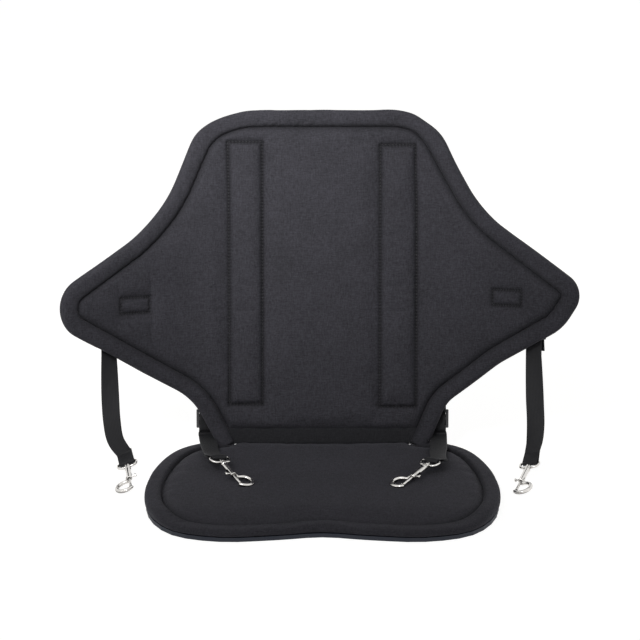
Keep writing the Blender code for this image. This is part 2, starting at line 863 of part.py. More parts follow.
def place_hook(name, frame, meshes, metal):
    """The four pieces of one hook, on an empty at the middle of its crossbar."""
    holder = bpy.data.objects.new(name + "_place", None)
    bpy.context.scene.collection.objects.link(holder)
    holder.matrix_world = frame
    for piece_name, mesh in meshes.items():
        add_object(name + "_" + piece_name, mesh, metal, Matrix(), holder)


def build():
    clear_scene()
    fabric = material("charcoal fabric", (0.045, 0.045, 0.052), 0.9)
    lining = material("dark lining", (0.025, 0.025, 0.03), 0.9)
    foam = material("foam", (0.03, 0.03, 0.032), 0.85)
    grip = material("grip sheet", (0.012, 0.014, 0.03), 0.7)
    web = material("black webbing", (0.012, 0.012, 0.014), 0.8)
    plastic = material("grey plastic", (0.06, 0.06, 0.065), 0.35)
    metal = material("nickel plate", (0.75, 0.73, 0.70), 0.2, 1.0)

    back_layer("backrest_foam_core", -core_face, core_face, foam)
    back_layer("backrest_front_panel", skin_inner, skin_outer, fabric, channels=True)
    back_layer("backrest_back_panel", -skin_outer, -skin_inner, lining)
    back_rim(fabric)
    hinge_strip(web)
    seat_layer("seat_base_sheet", base_sheet_inset, 0.0, base_sheet_thickness, grip)
    inner = seat_rim_width + gap
    seat_layer("seat_foam_core", inner, seat_core_bottom, seat_core_top, foam)
    seat_layer("seat_top_panel", inner, seat_core_top + gap, seat_top, fabric)
    seat_rim(fabric)

    meshes = {"eye": eye_mesh(), "body": hook_mesh(), "bolt": bolt_mesh(), "spring": spring_mesh()}
    for side, sign in outwards.items():
        stay(side, plastic)
        wing_tab(side, web)
        foot_tab(side, web)
        wing_u, wing_v = wing_strap_place(side)
        foot_u, foot_v = sign * foot_strap_half, foot_slider_height
        for name, u, v in (("side", wing_u, wing_v), ("lower", foot_u, foot_v)):
            place = bend(u, v, -slider_back)
            slider(name + "_slider_" + side, place, axes_at(u, v), plastic)

        place = strap_place(side, seat_half_width, side_crossbars[side])
        bar, axis, cross, frame = hook_frame(place, side_hook_turns[side], 0.0, sign)
        place_hook("side_hook_" + side, frame, meshes, metal)
        rise = cross.cross(Vector(side_strap_way)).normalized()
        back = cross.cross(rise)
        back = (back if back.z > 0 else -back).normalized()
        clear_of = wing_edge(wing_u) - webbing_width / 2
        run = [strap_place(side, seat_half_width, p) for p in side_runs[side]]
        strap("side_strap_" + side, (wing_u, wing_v), clear_of, run, (bar, cross, back), web)

        floor = seat_top + gap
        place = strap_place(side, foot_strap_half, lower_crossbars[side])
        bar, axis, cross, frame = hook_frame(place, lower_hook_turns[side], floor, -sign)
        place_hook("lower_hook_" + side, frame, meshes, metal)
        back = (-axis - Vector((0, 0, lower_strap_sag))).normalized()
        back = (back - cross * back.dot(cross)).normalized()
        run = [strap_place(side, foot_strap_half, p, seat_top) for p in lower_runs[side]]
        strap("lower_strap_" + side, (foot_u, foot_v), None, run, (bar, cross, back), web)


build()
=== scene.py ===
# %% [markdown]
# # A clip-on canoe seat
# The seat is a padded backrest with two wings, sewn to a kidney-shaped pad. Four
# webbing straps hang from plastic sliders behind it, and each ends in a nickel-plated
# snap hook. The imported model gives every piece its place, and this script dresses it:
# padding and straps are made anew as soft goods, and every surface gets its finish.

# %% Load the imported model
import json
import math

import bmesh
import bpy
import numpy as np
from mathutils import Matrix, Vector, kdtree, noise

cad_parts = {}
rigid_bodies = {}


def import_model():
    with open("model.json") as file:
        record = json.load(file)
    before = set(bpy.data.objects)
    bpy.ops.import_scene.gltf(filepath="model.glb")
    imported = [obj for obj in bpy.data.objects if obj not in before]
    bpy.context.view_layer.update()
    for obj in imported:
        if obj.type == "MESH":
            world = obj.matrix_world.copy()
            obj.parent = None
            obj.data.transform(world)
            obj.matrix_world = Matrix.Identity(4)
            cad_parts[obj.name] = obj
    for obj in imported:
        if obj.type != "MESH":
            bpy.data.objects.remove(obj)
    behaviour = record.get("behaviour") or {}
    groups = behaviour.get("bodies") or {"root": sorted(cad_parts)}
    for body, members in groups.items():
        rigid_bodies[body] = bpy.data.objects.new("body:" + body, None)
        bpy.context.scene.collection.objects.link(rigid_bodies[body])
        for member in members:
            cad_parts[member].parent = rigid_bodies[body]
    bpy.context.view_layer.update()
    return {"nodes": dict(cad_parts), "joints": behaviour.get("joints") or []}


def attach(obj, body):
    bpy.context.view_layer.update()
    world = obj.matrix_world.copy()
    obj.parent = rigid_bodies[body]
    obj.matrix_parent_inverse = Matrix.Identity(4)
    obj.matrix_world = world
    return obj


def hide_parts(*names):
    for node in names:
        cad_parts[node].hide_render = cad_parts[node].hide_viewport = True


for thing in list(bpy.data.objects):
    bpy.data.objects.remove(thing, do_unlink=True)
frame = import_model()
nodes = frame["nodes"]

# %% [markdown]
# ## Camera
# The seat was photographed from in front, a little above, with a long lens: the pad
# and the backrest keep their shapes, and the webbing is nearly as wide at the hooks as
# at the sliders. A camera 2.4 m away with a narrow view gives that look.

# %% Camera
def new_object(name, data):
    made = bpy.data.objects.new(name, data)
    bpy.context.scene.collection.objects.link(made)
    return made


camera_data = bpy.data.cameras.new("camera")
camera = new_object("camera", camera_data)
camera.location = (0, -2.3197, 0.8414)
looks_at = Vector((0, -0.007, 0.200))
camera.rotation_euler = (looks_at - camera.location).to_track_quat("-Z", "Y").to_euler()
camera_data.lens = 126.9
camera_data.sensor_width = 36
camera_data.shift_x = -0.0039
bpy.context.scene.camera = camera
bpy.context.scene.view_settings.view_transform = "Standard"
above = camera.location - looks_at
print("camera looks down", round(math.degrees(math.atan2(above.z, -above.y)), 1), "degrees")

# %% [markdown]
# ## Small helpers for shader nodes
# A material is a small graph. These helpers keep the graphs short to write: they add a
# node with its settings, mix two colours, do sums, and make a node group with named
# sockets, which is how an effect such as a weave is built once and used in several
# materials.

# %% Node helpers
def feed(tree, socket, value):
    """Links a socket to another, or gives it a plain value."""
    if isinstance(value, bpy.types.NodeSocket):
        tree.links.new(value, socket)
    else:
        socket.default_value = value


def add_node(tree, kind, inputs=None, **settings):
    made = tree.nodes.new("ShaderNode" + kind)
    for name, value in settings.items():
        setattr(made, name, value)
    for key, value in (inputs or {}).items():
        feed(tree, made.inputs[key], value)
    return made


def new_group(name, inputs, outputs):
    tree = bpy.data.node_groups.new(name, "ShaderNodeTree")
    for socket, kind, value in inputs:
        made = tree.interface.new_socket(socket, in_out="INPUT", socket_type="NodeSocket" + kind)
        if value is not None:
            made.default_value = value
    for socket, kind in outputs:
        tree.interface.new_socket(socket, in_out="OUTPUT", socket_type="NodeSocket" + kind)
    return tree, tree.nodes.new("NodeGroupInput").outputs, tree.nodes.new("NodeGroupOutput").inputs


def new_material(name, attribute=None):
    """A material, its tree, its shader, and its places: Object ones, or an attribute's."""
    made = bpy.data.materials.new(name)
    made.use_nodes = True
    tree = made.node_tree
    if attribute:
        place = add_node(tree, "Attribute", attribute_name=attribute).outputs["Vector"]
    else:
        place = add_node(tree, "TexCoord").outputs["Object"]
    return made, tree, tree.nodes["Principled BSDF"], place


# %% Colours, sums, textures and bumps
def mix_colour(tree, factor, a, b):
    return add_node(tree, "Mix", {0: factor, 6: a, 7: b}, data_type="RGBA").outputs[2]


def maths(tree, operation, *values, clamp=False):
    return add_node(tree, "Math", dict(enumerate(values)), operation=operation,
                    use_clamp=clamp).outputs[0]


def noise_in(tree, place, scale, detail):
    inputs = {"Vector": place, "Scale": scale, "Detail": detail}
    return add_node(tree, "TexNoise", inputs).outputs["Fac"]


def waves(tree, place, scale, direction, **more):
    inputs = {"Vector": place, "Scale": scale, **more}
    return add_node(tree, "TexWave", inputs, bands_direction=direction).outputs["Fac"]


def bumped(tree, height, strength, distance, **more):
    inputs = {"Height": height, "Strength": strength, "Distance": distance, **more}
    return add_node(tree, "Bump", inputs).outputs["Normal"]


def set_surface(tree, shader, colour, roughness):
    tree.links.new(colour, shader.inputs["Base Color"])
    tree.links.new(roughness, shader.inputs["Roughness"])


# %% [markdown]
# ## Light and floor
# The seat lies on white, under big soft lamps. The floor is nearly white and keeps
# the seat's soft shadow. Rays from the camera, and those mirrored by the hooks, see it
# and the backdrop as plain white, so no lamp has to be turned up for that.

# %% Floor and backdrop
def seen_directly(tree):
    path = add_node(tree, "LightPath").outputs
    mirrored = maths(tree, "ADD", path["Is Glossy Ray"], path["Is Transmission Ray"])
    return maths(tree, "ADD", path["Is Camera Ray"], mirrored, clamp=True)


def make_floor():
    bm = bmesh.new()
    bmesh.ops.create_grid(bm, x_segments=1, y_segments=1, size=20)
    mesh = bpy.data.meshes.new("floor")
    bm.to_mesh(mesh)
    bm.free()
    floor = new_object("floor", mesh)
    paper = bpy.data.materials.new("white paper")
    paper.use_nodes = True
    tree = paper.node_tree
    tree.nodes.clear()
    seen = seen_directly(tree)
    tint = mix_colour(tree, seen, (0.85, 0.85, 0.87, 1), (0.36, 0.345, 0.32, 1))
    matt = add_node(tree, "BsdfDiffuse", {"Color": tint})
    glow = maths(tree, "MULTIPLY", seen, 0.93)
    white = add_node(tree, "Emission", {"Color": (1, 1, 1, 1), "Strength": glow})
    both = add_node(tree, "AddShader", {0: matt.outputs[0], 1: white.outputs[0]})
    add_node(tree, "OutputMaterial", {"Surface": both.outputs[0]})
    mesh.materials.append(paper)


def make_backdrop():
    world = bpy.data.worlds.new("backdrop")
    bpy.context.scene.world = world
    world.use_nodes = True
    tree = world.node_tree
    light = maths(tree, "MULTIPLY_ADD", seen_directly(tree), 0.78, 0.22)
    tree.links.new(light, tree.nodes["Background"].inputs["Strength"])
    tree.nodes["Background"].inputs["Color"].default_value = (1, 1, 1, 1)


make_floor()
make_backdrop()
print("floor and backdrop are white")

# %% Lamps
def softbox(name, place, target, size, power, spread=180):
    lamp = bpy.data.lights.new(name, "AREA")
    lamp.shape = "RECTANGLE"
    lamp.size, lamp.size_y = size
    lamp.energy = power
    lamp.spread = math.radians(spread)
    holder = new_object(name, lamp)
    holder.location = place
    holder.rotation_euler = (Vector(target) - Vector(place)).to_track_quat("-Z", "Y").to_euler()


softbox("top softbox", (-0.45, -1.00, 1.10), (-0.16, 0.20, 0.49), (0.5, 0.4), 1.9, 46)
softbox("left softbox", (-1.5, -1.2, 0.7), (0, 0.1, 0.25), (0.7, 0.9), 1.9)
softbox("right softbox", (1.7, -1.1, 0.9), (0, 0.1, 0.25), (0.5, 0.9), 0.6)
print("three softboxes")

# %% [markdown]
# ## The backrest laid flat
# A sewn pad is designed flat. Its outline, its seams and its padding are made here in
# flat places (across, up, forward), and bend() then leans the pad back and sweeps its
# wings forward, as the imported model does.

# %% Flat plan of the backrest, in metres
foot_height, elbow_half, elbow_height = 0.0025, 0.1585, 0.0645
wing_half, wing_height = 0.344, 0.166
waist_half, waist_height, waist_radius = 0.183, 0.264, 0.110
shoulder_half, back_height, shoulder_radius = 0.1255, 0.378, 0.075
back_rim_width, back_rim_thickness = 0.0208, 0.015

lean = math.radians(10.0)
flat_half, bend_radius = 0.085, 0.190
wing_sweep = {"left": math.radians(37.0), "right": math.radians(34.0)}
back_base = Vector((0.0, 0.1335, 0.0188))
outwards = {"left": -1, "right": 1}


def bend(flat):
    """Flat places on the backrest, as an array, moved to where they are on the seat."""
    across, up, out = np.asarray(flat, float).reshape(-1, 3).T
    sweep = np.where(across < 0, wing_sweep["left"], wing_sweep["right"])
    past = np.maximum(np.abs(across) - flat_half, 0)
    turn = np.minimum(past / bend_radius, sweep)
    straight = past - turn * bend_radius
    x = np.minimum(np.abs(across), flat_half) + bend_radius * np.sin(turn)
    x = x + straight * np.cos(turn) - out * np.sin(turn)
    forward = bend_radius * (1 - np.cos(turn))
    forward = forward + straight * np.sin(turn) + out * np.cos(turn)
    y = back_base.y - forward * math.cos(lean) + up * math.sin(lean)
    z = back_base.z + forward * math.sin(lean) + up * math.cos(lean)
    return np.stack([np.where(across < 0, -x, x), y, z], axis=1)


def bend_one(across, up, out):
    return Vector(bend([(across, up, out)])[0])


for sign in outwards.values():
    print("a wing tip bends to", bend_one(sign * wing_half, wing_height, 0)[:])

# %% Outlines with rounded corners
def eased(share):
    """A soft step from 0 to 1."""
    share = np.clip(share, 0, 1)
    return share * share * (3 - 2 * share)


def straight_points(start, end, step):
    count = max(1, math.ceil((end - start).length / step))
    return [start.lerp(end, i / count) for i in range(count)]


def rounded_path(corners, step):
    """Evenly spaced points along a line of corners, each turned at its own radius."""
    points, last = [], Vector(corners[0][:2])
    for before, here, after in zip(corners, corners[1:], corners[2:]):
        p, q, r = Vector(before[:2]), Vector(here[:2]), Vector(after[:2])
        way_in, way_out = (q - p).normalized(), (r - q).normalized()
        turn = math.atan2(way_in.cross(way_out), way_in.dot(way_out))
        longest = 0.48 * min((q - p).length, (r - q).length)
        reach = min(here[2] * math.tan(abs(turn) / 2), longest)
        radius = reach / math.tan(abs(turn) / 2)
        start = q - way_in * reach
        points += straight_points(last, start, step)
        centre = start + Vector((-way_in.y, way_in.x)) * (radius if turn > 0 else -radius)
        count = max(3, math.ceil(abs(turn) * radius / step))
        for i in range(count):
            points.append(centre + Matrix.Rotation(turn * i / count, 2) @ (start - centre))
        last = q + way_out * reach
    end = Vector(corners[-1][:2])
    return points + straight_points(last, end, step) + [end]


def inset(path, distance, closed):
    """The path moved to the right of its direction."""
    moved, n = [], len(path)
    for i, here in enumerate(path):
        before = path[i - 1] if closed or i else here
        after = path[(i + 1) % n] if closed or i < n - 1 else here
        run = (after - before).normalized()
        moved.append(here + Vector((run.y, -run.x)) * distance)
    return moved


# %% Outline of the backrest
# each corner: how far across, how far up, and its radius
left_corners = [
    (0.1185, -0.0110, 0), (0.1250, foot_height, 0.030), (0.1480, 0.0471, 0.080),
    (0.3525, 0.1578, 0.0345), (0.1905, 0.2520, 0.170),
    (shoulder_half, back_height, shoulder_radius),
]
right_corners = [
    (0.1185, -0.0110, 0), (0.1250, foot_height, 0.030), (0.1418, 0.0421, 0.045),
    (0.2050, 0.0899, 0.150), (0.2860, 0.1358, 0.060), (0.3165, 0.1800, 0.0250),
    (waist_half, waist_height, waist_radius), (shoulder_half, back_height, shoulder_radius),
]
back_corners = [(-a, b, r) for a, b, r in left_corners] + right_corners[::-1]
back_edge = rounded_path(back_corners, 0.004)
print("backrest edge:", len(back_edge), "points")

# %% [markdown]
# ## Sweeping a section along a line
# Borders, webbing and bent wire are all one section drawn along a line. The section is
# a ring of edges, which is extruded and moved from each place to the next. Every point
# also keeps where it was on the flat cloth, so that a weave can follow it.

# %% Sweep
def sweep(section, places, distances, closed=False):
    bm = bmesh.new()
    cloth = bm.verts.layers.float_vector.new("cloth")
    first = [bm.verts.new((a, b, 0)) for a, b in section]
    for vert in first:
        vert[cloth] = (vert.co.x, distances[0], vert.co.y)
    bmesh.ops.transform(bm, matrix=places[0], verts=first)
    edges = [bm.edges.new((first[i - 1], first[i])) for i in range(len(first))]
    start = edges
    for before, after, distance in zip(places, places[1:], distances[1:]):
        made = bmesh.ops.extrude_edge_only(bm, edges=edges)["geom"]
        verts = [part for part in made if isinstance(part, bmesh.types.BMVert)]
        edges = [part for part in made if isinstance(part, bmesh.types.BMEdge)]
        edges = [edge for edge in edges if edge.is_boundary]
        bmesh.ops.transform(bm, matrix=after @ before.inverted(), verts=verts)
        for vert in verts:
            vert[cloth] = (vert[cloth].x, distance, vert[cloth].z)
    if closed:
        bmesh.ops.bridge_loops(bm, edges=start + edges)
    else:
        bmesh.ops.contextual_create(bm, geom=start)
        bmesh.ops.contextual_create(bm, geom=edges)
    bmesh.ops.recalc_face_normals(bm, faces=bm.faces)
    return bm


# %% Places along a path, and soft sections
def placing(x_way, y_way, z_way, place):
    return Matrix.Translation(place) @ Matrix((x_way, y_way, z_way)).transposed().to_4x4()


def lengths_along(path):
    total, out = 0.0, [0.0]
    for a, b in zip(path, path[1:]):
        total += (b - a).length
        out.append(total)
    return out


def flat_places(path, closed, level=0.0):
    """Placing matrices along a flat path: x to the right of it, y upwards."""
    places = []
    for here, beside in zip(path, inset(path, 1.0, closed)):
        side = (beside - here).normalized().to_3d()
        places.append(placing(side, Vector((0, 0, 1)), side.cross(Vector((0, 0, 1))),
                              Vector((here.x, here.y, level))))
    return places


def soft_section(width, thickness, sides, squareness=0.7):
    """A cushion-like section: a rounded box, blunter the lower its squareness."""
    section = []
    for k in range(sides):
        c, s = math.cos(2 * math.pi * k / sides), math.sin(2 * math.pi * k / sides)
        section.append((math.copysign(abs(c) ** squareness, c) * width / 2,
                        math.copysign(abs(s) ** squareness, s) * thickness / 2))
    return section


def add_piece(name, bm):
    mesh = bpy.data.meshes.new(name)
    bm.to_mesh(mesh)
    bm.free()
    return new_object(name, mesh)


# %% [markdown]
# ## Padding
# Each panel starts as a thin flat slab with its seams stitched down. The cloth
# simulation then blows it up a little while the fabric is a few percent too long for
# its foam, which gives the soft crowns and the small puckers along a real seam. The
# points on the seams are held, and no point may move further than a cap.

# %% Panels
def panel(name, outline, low, high, step, across_lines=(), up_lines=()):
    """A slab cut into a grid of faces, with grid lines exactly on the given lines."""
    bm = bmesh.new()
    bm.faces.new([bm.verts.new((p.x, p.y, low)) for p in outline])
    for axis, lines in ((0, across_lines), (1, up_lines)):
        places = [p[axis] for p in outline]
        start, length = min(places), max(places) - min(places)
        count = int(length / step)
        grid = [start + length * (i + 0.5) / count for i in range(count)]
        grid = [g for g in grid if all(abs(g - line) > 0.4 * step for line in lines)]
        normal = Vector((1, 0, 0)) if axis == 0 else Vector((0, 1, 0))
        for place in sorted(grid + list(lines)):
            parts = bm.verts[:] + bm.edges[:] + bm.faces[:]
            bmesh.ops.bisect_plane(bm, geom=parts, dist=1e-6, plane_co=normal * place,
                                   plane_no=normal)
    bmesh.ops.remove_doubles(bm, verts=bm.verts, dist=0.25 * step)
    made = bmesh.ops.extrude_face_region(bm, geom=bm.faces[:], use_keep_orig=True)["geom"]
    top = [part for part in made if isinstance(part, bmesh.types.BMVert)]
    bmesh.ops.translate(bm, vec=(0, 0, high - low), verts=top)
    bmesh.ops.recalc_face_normals(bm, faces=bm.faces)
    return add_piece(name, bm)


# %% Places as arrays, and distances to seams
def read_vectors(collection, key):
    flat = np.zeros(len(collection) * 3, np.float32)
    collection.foreach_get(key, flat)
    return flat.reshape(-1, 3)


def coordinates(piece):
    return read_vectors(piece.data.vertices, "co").astype(float)


def set_coordinates(piece, places):
    piece.data.vertices.foreach_set("co", np.asarray(places, np.float32).ravel())
    piece.data.update()


def distance_to_lines(points, lines):
    """How far flat points are from the nearest of several straight lines."""
    best = np.full(len(points), 1e9)
    for start, end in lines:
        start = np.array(start)
        run = np.array(end) - start
        share = np.clip(((points - start) @ run) / max(run @ run, 1e-12), 0, 1)
        away = np.linalg.norm(points - start - share[:, None] * run, axis=1)
        best = np.minimum(best, away)
    return best


def distance_to_path(points, path, closed=True):
    """How far flat points are from a path."""
    a = np.array([tuple(p) for p in path])
    lines = list(zip(a, np.roll(a, -1, axis=0)))
    return distance_to_lines(points, lines if closed else lines[:-1])


def box_lines(left, right, low, high):
    return [((left, low), (left, high)), ((right, low), (right, high)),
            ((left, low), (right, low)), ((left, high), (right, high))]


# %% Cloth simulation
cloth_settings = {
    "quality": 4, "mass": 0.3, "tension_stiffness": 15, "compression_stiffness": 15,
    "shear_stiffness": 5, "bending_stiffness": 0.3, "use_pressure": True,
    "uniform_pressure_force": 4.0, "vertex_group_mass": "held",
}
sewn = []


def to_puff(piece, held, growth, cap):
    """Marks a piece for the simulation: the held points, and how far the rest may go."""
    group = piece.vertex_groups.new(name="held")
    group.add([int(i) for i in np.flatnonzero(held)], 1.0, "REPLACE")
    sewn.append((piece, growth, cap))


def puff_all(frames=20):
    starts = {}
    for piece, growth, _ in sewn:
        starts[piece.name] = coordinates(piece)
        cloth = piece.modifiers.new("padding", "CLOTH").settings
        for key, value in cloth_settings.items():
            setattr(cloth, key, value)
        cloth.shrink_min = -growth
        cloth.effector_weights.gravity = 0
    for number in range(1, frames + 1):
        bpy.context.scene.frame_set(number)
    graph = bpy.context.evaluated_depsgraph_get()
    for piece, _, cap in sewn:
        mesh = bpy.data.meshes.new_from_object(piece.evaluated_get(graph))
        shift = read_vectors(mesh.vertices, "co") - starts[piece.name]
        size = np.maximum(np.linalg.norm(shift, axis=1, keepdims=True), 1e-9)
        piece.modifiers.clear()
        bpy.data.meshes.remove(mesh)
        capped = shift * (cap * np.tanh(size / cap) / size)
        set_coordinates(piece, starts[piece.name] + capped)
        print(piece.name, "puffed by up to", round(float(size.max()) * 1000, 1), "mm")
    bpy.context.scene.frame_set(1)


# %% Seams of the backrest
# a channel: its middle, half its width, its bottom and its top
channels = {"left": (-0.0874, 0.0191, 0.0417, 0.3403), "right": (0.0862, 0.0208, 0.0391, 0.3370)}
# a box stitch: its middle, half its width, and how far up it is
wing_boxes = {"left": (-0.2230, 0.0190, 0.1590), "right": (0.2181, 0.0185, 0.1672)}
channel_rise, skin_out, core_half = 0.0026, 0.0063, 0.0046
box_half_across, box_up = 0.216, 0.161
box_half_height, panel_bottom = 0.0087, 0.0115
seam_dip, line_dip = 0.0034, 0.0030

channel_lines, box_stitches = [], []
for side in outwards:
    centre, half, low, high = channels[side]
    channel_lines += box_lines(centre - half, centre + half, low, high)
    centre, half, up = wing_boxes[side]
    box_stitches += box_lines(centre - half, centre + half,
                              up - box_half_height, up + box_half_height)


def cut_above(path, level):
    kept = [p for p in path if p.y > level + 0.0005]
    return [Vector((kept[0].x, level))] + kept + [Vector((kept[-1].x, level))]


seam_tuck = 0.0016
panel_edge = cut_above(inset(back_edge, back_rim_width - seam_tuck, False), panel_bottom)


def with_neighbours(lines, axis, beside=(0.0016, 0.0036)):
    """The places of straight seams along an axis, with places a little to each side."""
    seams = {round(p[axis], 5) for line in lines for p in line}
    offsets = (0, *beside, *(-b for b in beside))
    return sorted({round(seam + offset, 6) for seam in seams for offset in offsets})


back_seams = channel_lines + box_stitches
print("backrest seams:", len(back_seams), "straight lines")

# %% Backrest panel
grid_step = 0.005
back_panel = panel("backrest_front_cushion", panel_edge, -core_half, skin_out, grid_step,
                   with_neighbours(back_seams, 0), with_neighbours(back_seams, 1))


def press_seams(piece, edge, lines, level):
    """Presses the front face down along its seams, and returns which points are held."""
    places = coordinates(piece)
    front = places[:, 2] > 0.5 * level
    near_edge = distance_to_path(places[:, :2], edge)
    near_line = distance_to_lines(places[:, :2], lines)
    dip = 1.5 * seam_dip * np.exp(-(near_edge / 0.0042) ** 2)
    dip += line_dip * np.exp(-(near_line / 0.0017) ** 2)
    dip += 0.0009 * np.exp(-(near_line / 0.007) ** 2)
    places[front, 2] -= dip[front]
    return places, front, ~front | (near_edge < 0.0012) | (near_line < 0.0006)


places, front, held = press_seams(back_panel, panel_edge, back_seams, skin_out)
for centre, half, low, high in channels.values():
    inside = np.minimum(places[:, 1] - low, high - places[:, 1])
    inside = np.minimum(half - np.abs(places[:, 0] - centre), inside)
    places[front, 2] += channel_rise * np.clip(inside[front] / 0.003, 0, 1)
set_coordinates(back_panel, places)
to_puff(back_panel, held, growth=0.012, cap=0.0020)
print("backrest panel:", len(places), "points,", int(held.sum()), "held")

# %% Backrest border
sewn_band = 0.0035


def border(name, path, closed, width, thickness, level):
    section = soft_section(width, thickness, 20)
    places = flat_places(path, closed, level)
    return add_piece(name, sweep(section, places, lengths_along(path), closed))


back_rim = border("backrest_border", inset(back_edge, back_rim_width / 2, False), False,
                  back_rim_width - 0.0008, back_rim_thickness - 0.0012, 0.0)
places = coordinates(back_rim)
seam = inset(back_edge, back_rim_width - 0.0006, False)
held = distance_to_path(places[:, :2], seam, False) < sewn_band
ends = places[:, 1] < foot_height + 0.006
to_puff(back_rim, held | ends, growth=0.008, cap=0.0007)
print("backrest border:", len(places), "points,", int(held.sum()), "held")

# %% [markdown]
# ## The seat pad
# The pad is a kidney shape with a slight dip in the middle of its front edge. It has a
# fabric top over foam, the same padded border all round, and a thicker dark sheet under
# it that keeps it from sliding and that shows as a thin band along the front.

# %% Seat outline
seat_half_width, seat_reach, seat_dip = 0.1915, 0.143, 0.013
seat_rim_width, seat_rim_thickness = 0.019, 0.0131
seat_rim_bottom, seat_core_bottom, seat_top = 0.0048, 0.0048, 0.0167
# shares of half the width and of the reach, from the dip round to the rear
seat_half = [
    (0.255, -1.0 + 0.36 * seat_dip / seat_reach), (0.555, -1.0), (0.822, -0.862),
    (0.972, -0.490), (0.998, 0.035), (0.916, 0.615), (0.762, 0.895), (0.500, 1.0),
]


def spline(a, b, c, d, count):
    """Places on the smooth curve from b to c that comes from a and goes on to d."""
    for t in (i / count for i in range(count)):
        yield 0.5 * (2 * b + (c - a) * t + (2 * a - 5 * b + 4 * c - d) * t * t
                     + (3 * b - a - 3 * c + d) * t ** 3)


def smooth_loop(points, count):
    loop, n = [], len(points)
    for k in range(n):
        loop += spline(*(Vector(points[(k + j) % n]) for j in (-1, 0, 1, 2)), count)
    return loop


right_half = [(a * seat_half_width, b * seat_reach) for a, b in seat_half]
left_half = [(-a, b) for a, b in right_half]
seat_edge = smooth_loop([(0.0, -seat_reach + seat_dip)] + left_half
                        + [(0.0, seat_reach)] + right_half[::-1], 14)
print("seat edge:", len(seat_edge), "points")

# %% Seat top
seat_seam = inset(seat_edge, seat_rim_width, True)
sewn_half, sewn_fade = 0.112, 0.015
front_thinning = 0.30


def lowered(places, share):
    """The places with their height over the border's bottom cut by a share of it."""
    places[:, 2] = seat_rim_bottom + (places[:, 2] - seat_rim_bottom) * (1 - share)
    return places


def front_slope(places):
    """The foam thins towards the front edge, so the top falls away there."""
    return lowered(places, front_thinning * eased((-places[:, 1] - 0.080) / 0.045))


def at_hinge(place):
    """How far a place is within the span where the backrest is sewn on, from 0 to 1."""
    return eased((sewn_half - abs(place.x)) / sewn_fade) if place.y > 0.05 else 0.0


seat_panel_edge = [a.lerp(b, at_hinge(a)) for a, b in
                   zip(inset(seat_edge, seat_rim_width - seam_tuck, True),
                       inset(seat_edge, 0.0045, True))]
seat_panel = panel("seat_top_cushion", seat_panel_edge, seat_core_bottom, seat_top, grid_step)
places, _, held = press_seams(seat_panel, seat_panel_edge, [], seat_top)
set_coordinates(seat_panel, front_slope(places))
to_puff(seat_panel, held, growth=0.008, cap=0.0016)
print("seat top:", len(places), "points")

# %% Seat border
seat_rim = border("seat_border", inset(seat_edge, seat_rim_width / 2, True), True,
                  seat_rim_width - 0.0008, seat_rim_thickness - 0.0006,
                  seat_rim_bottom + seat_rim_thickness / 2)
places = coordinates(seat_rim)
sunk = np.array([at_hinge(Vector(p)) for p in places])
places = lowered(places, 0.55 * sunk)
outside = distance_to_path(places[:, :2], seat_edge)
low = np.clip((0.0095 - places[:, 2]) / 0.004, 0, 1) * (outside < 0.006)
drop = (places[:, 2] - (seat_rim_bottom - 0.0002)) * 0.75 * low
places[:, 2] -= drop
set_coordinates(seat_rim, front_slope(places))
seam = inset(seat_edge, seat_rim_width - 0.0006, True)
held = distance_to_path(places[:, :2], seam) < sewn_band
held |= places[:, 2] < seat_rim_bottom + 0.001
to_puff(seat_rim, held, growth=0.008, cap=0.0007)
print("seat border:", len(places), "points")

# %% Run the simulation
puff_all()

# %% [markdown]
# ## Finishing the padded pieces
# One subdivision smooths the simulated mesh. Its flat places are kept as the attribute
# called cloth, and then the backrest's pieces are bent into place.

# %% Smoothing, flat places as an attribute, and an uneven stretch
def apply_modifiers(piece):
    graph = bpy.context.evaluated_depsgraph_get()
    mesh = bpy.data.meshes.new_from_object(piece.evaluated_get(graph))
    piece.modifiers.clear()
    old = piece.data
    piece.data = mesh
    bpy.data.meshes.remove(old)


def smoothed(piece, levels=1):
    softer = piece.modifiers.new("softer", "SUBSURF")
    softer.levels = softer.render_levels = levels
    apply_modifiers(piece)
    piece.data.shade_smooth()


def keep_vectors(piece, name, values):
    attributes = piece.data.attributes
    kept = attributes.get(name) or attributes.new(name, "FLOAT_VECTOR", "POINT")
    kept.data.foreach_set("vector", values.astype(np.float32).ravel())


def keep_flat_places(piece):
    keep_vectors(piece, "cloth", coordinates(piece))


def stretched(places):
    """The pad is not quite even: its shoulders lean left and its top slopes a little."""
    across, up = places[:, 0].copy(), places[:, 1].copy()
    share = np.where(across < 0, eased((up - 0.262) / 0.11), eased((up - 0.255) / 0.075))
    places[:, 0] -= 0.0048 * share * eased((np.abs(across) - 0.095) / 0.030)
    slope = 0.0010 + 0.0024 * eased((-across - 0.055) / 0.05)
    slope = slope + 0.0012 * eased((across - 0.07) / 0.03)
    places[:, 1] -= slope * eased((up - 0.345) / 0.025)
    return places


# %% Puckers in the borders
fold_pitch = 0.0125


def pucker(piece, depth, shift):
    """Short slanted folds in a border, deeper in some stretches than in others."""
    kept = read_vectors(piece.data.attributes["cloth"].data, "vector")
    across, along, high = kept.astype(float).T
    slow = np.array([noise.noise(Vector((a * 9.0 + shift, 3.1, 0.0))) for a in along])
    wander = np.array([noise.noise(Vector((a * 55.0 + shift, 7.7, c * 90.0)))
                       for a, c in zip(along, across)])
    turns = along / fold_pitch + across * 55.0 + 0.8 * wander
    fold = np.maximum(np.cos(2 * np.pi * turns), 0) ** 2
    share = eased(slow * 2.6 + 0.25) * eased((high + 0.001) / 0.004)
    share = share * eased((across + 0.009) / 0.012)
    normals = read_vectors(piece.data.vertices, "normal")
    set_coordinates(piece, coordinates(piece) - normals * (depth * fold * share)[:, None])


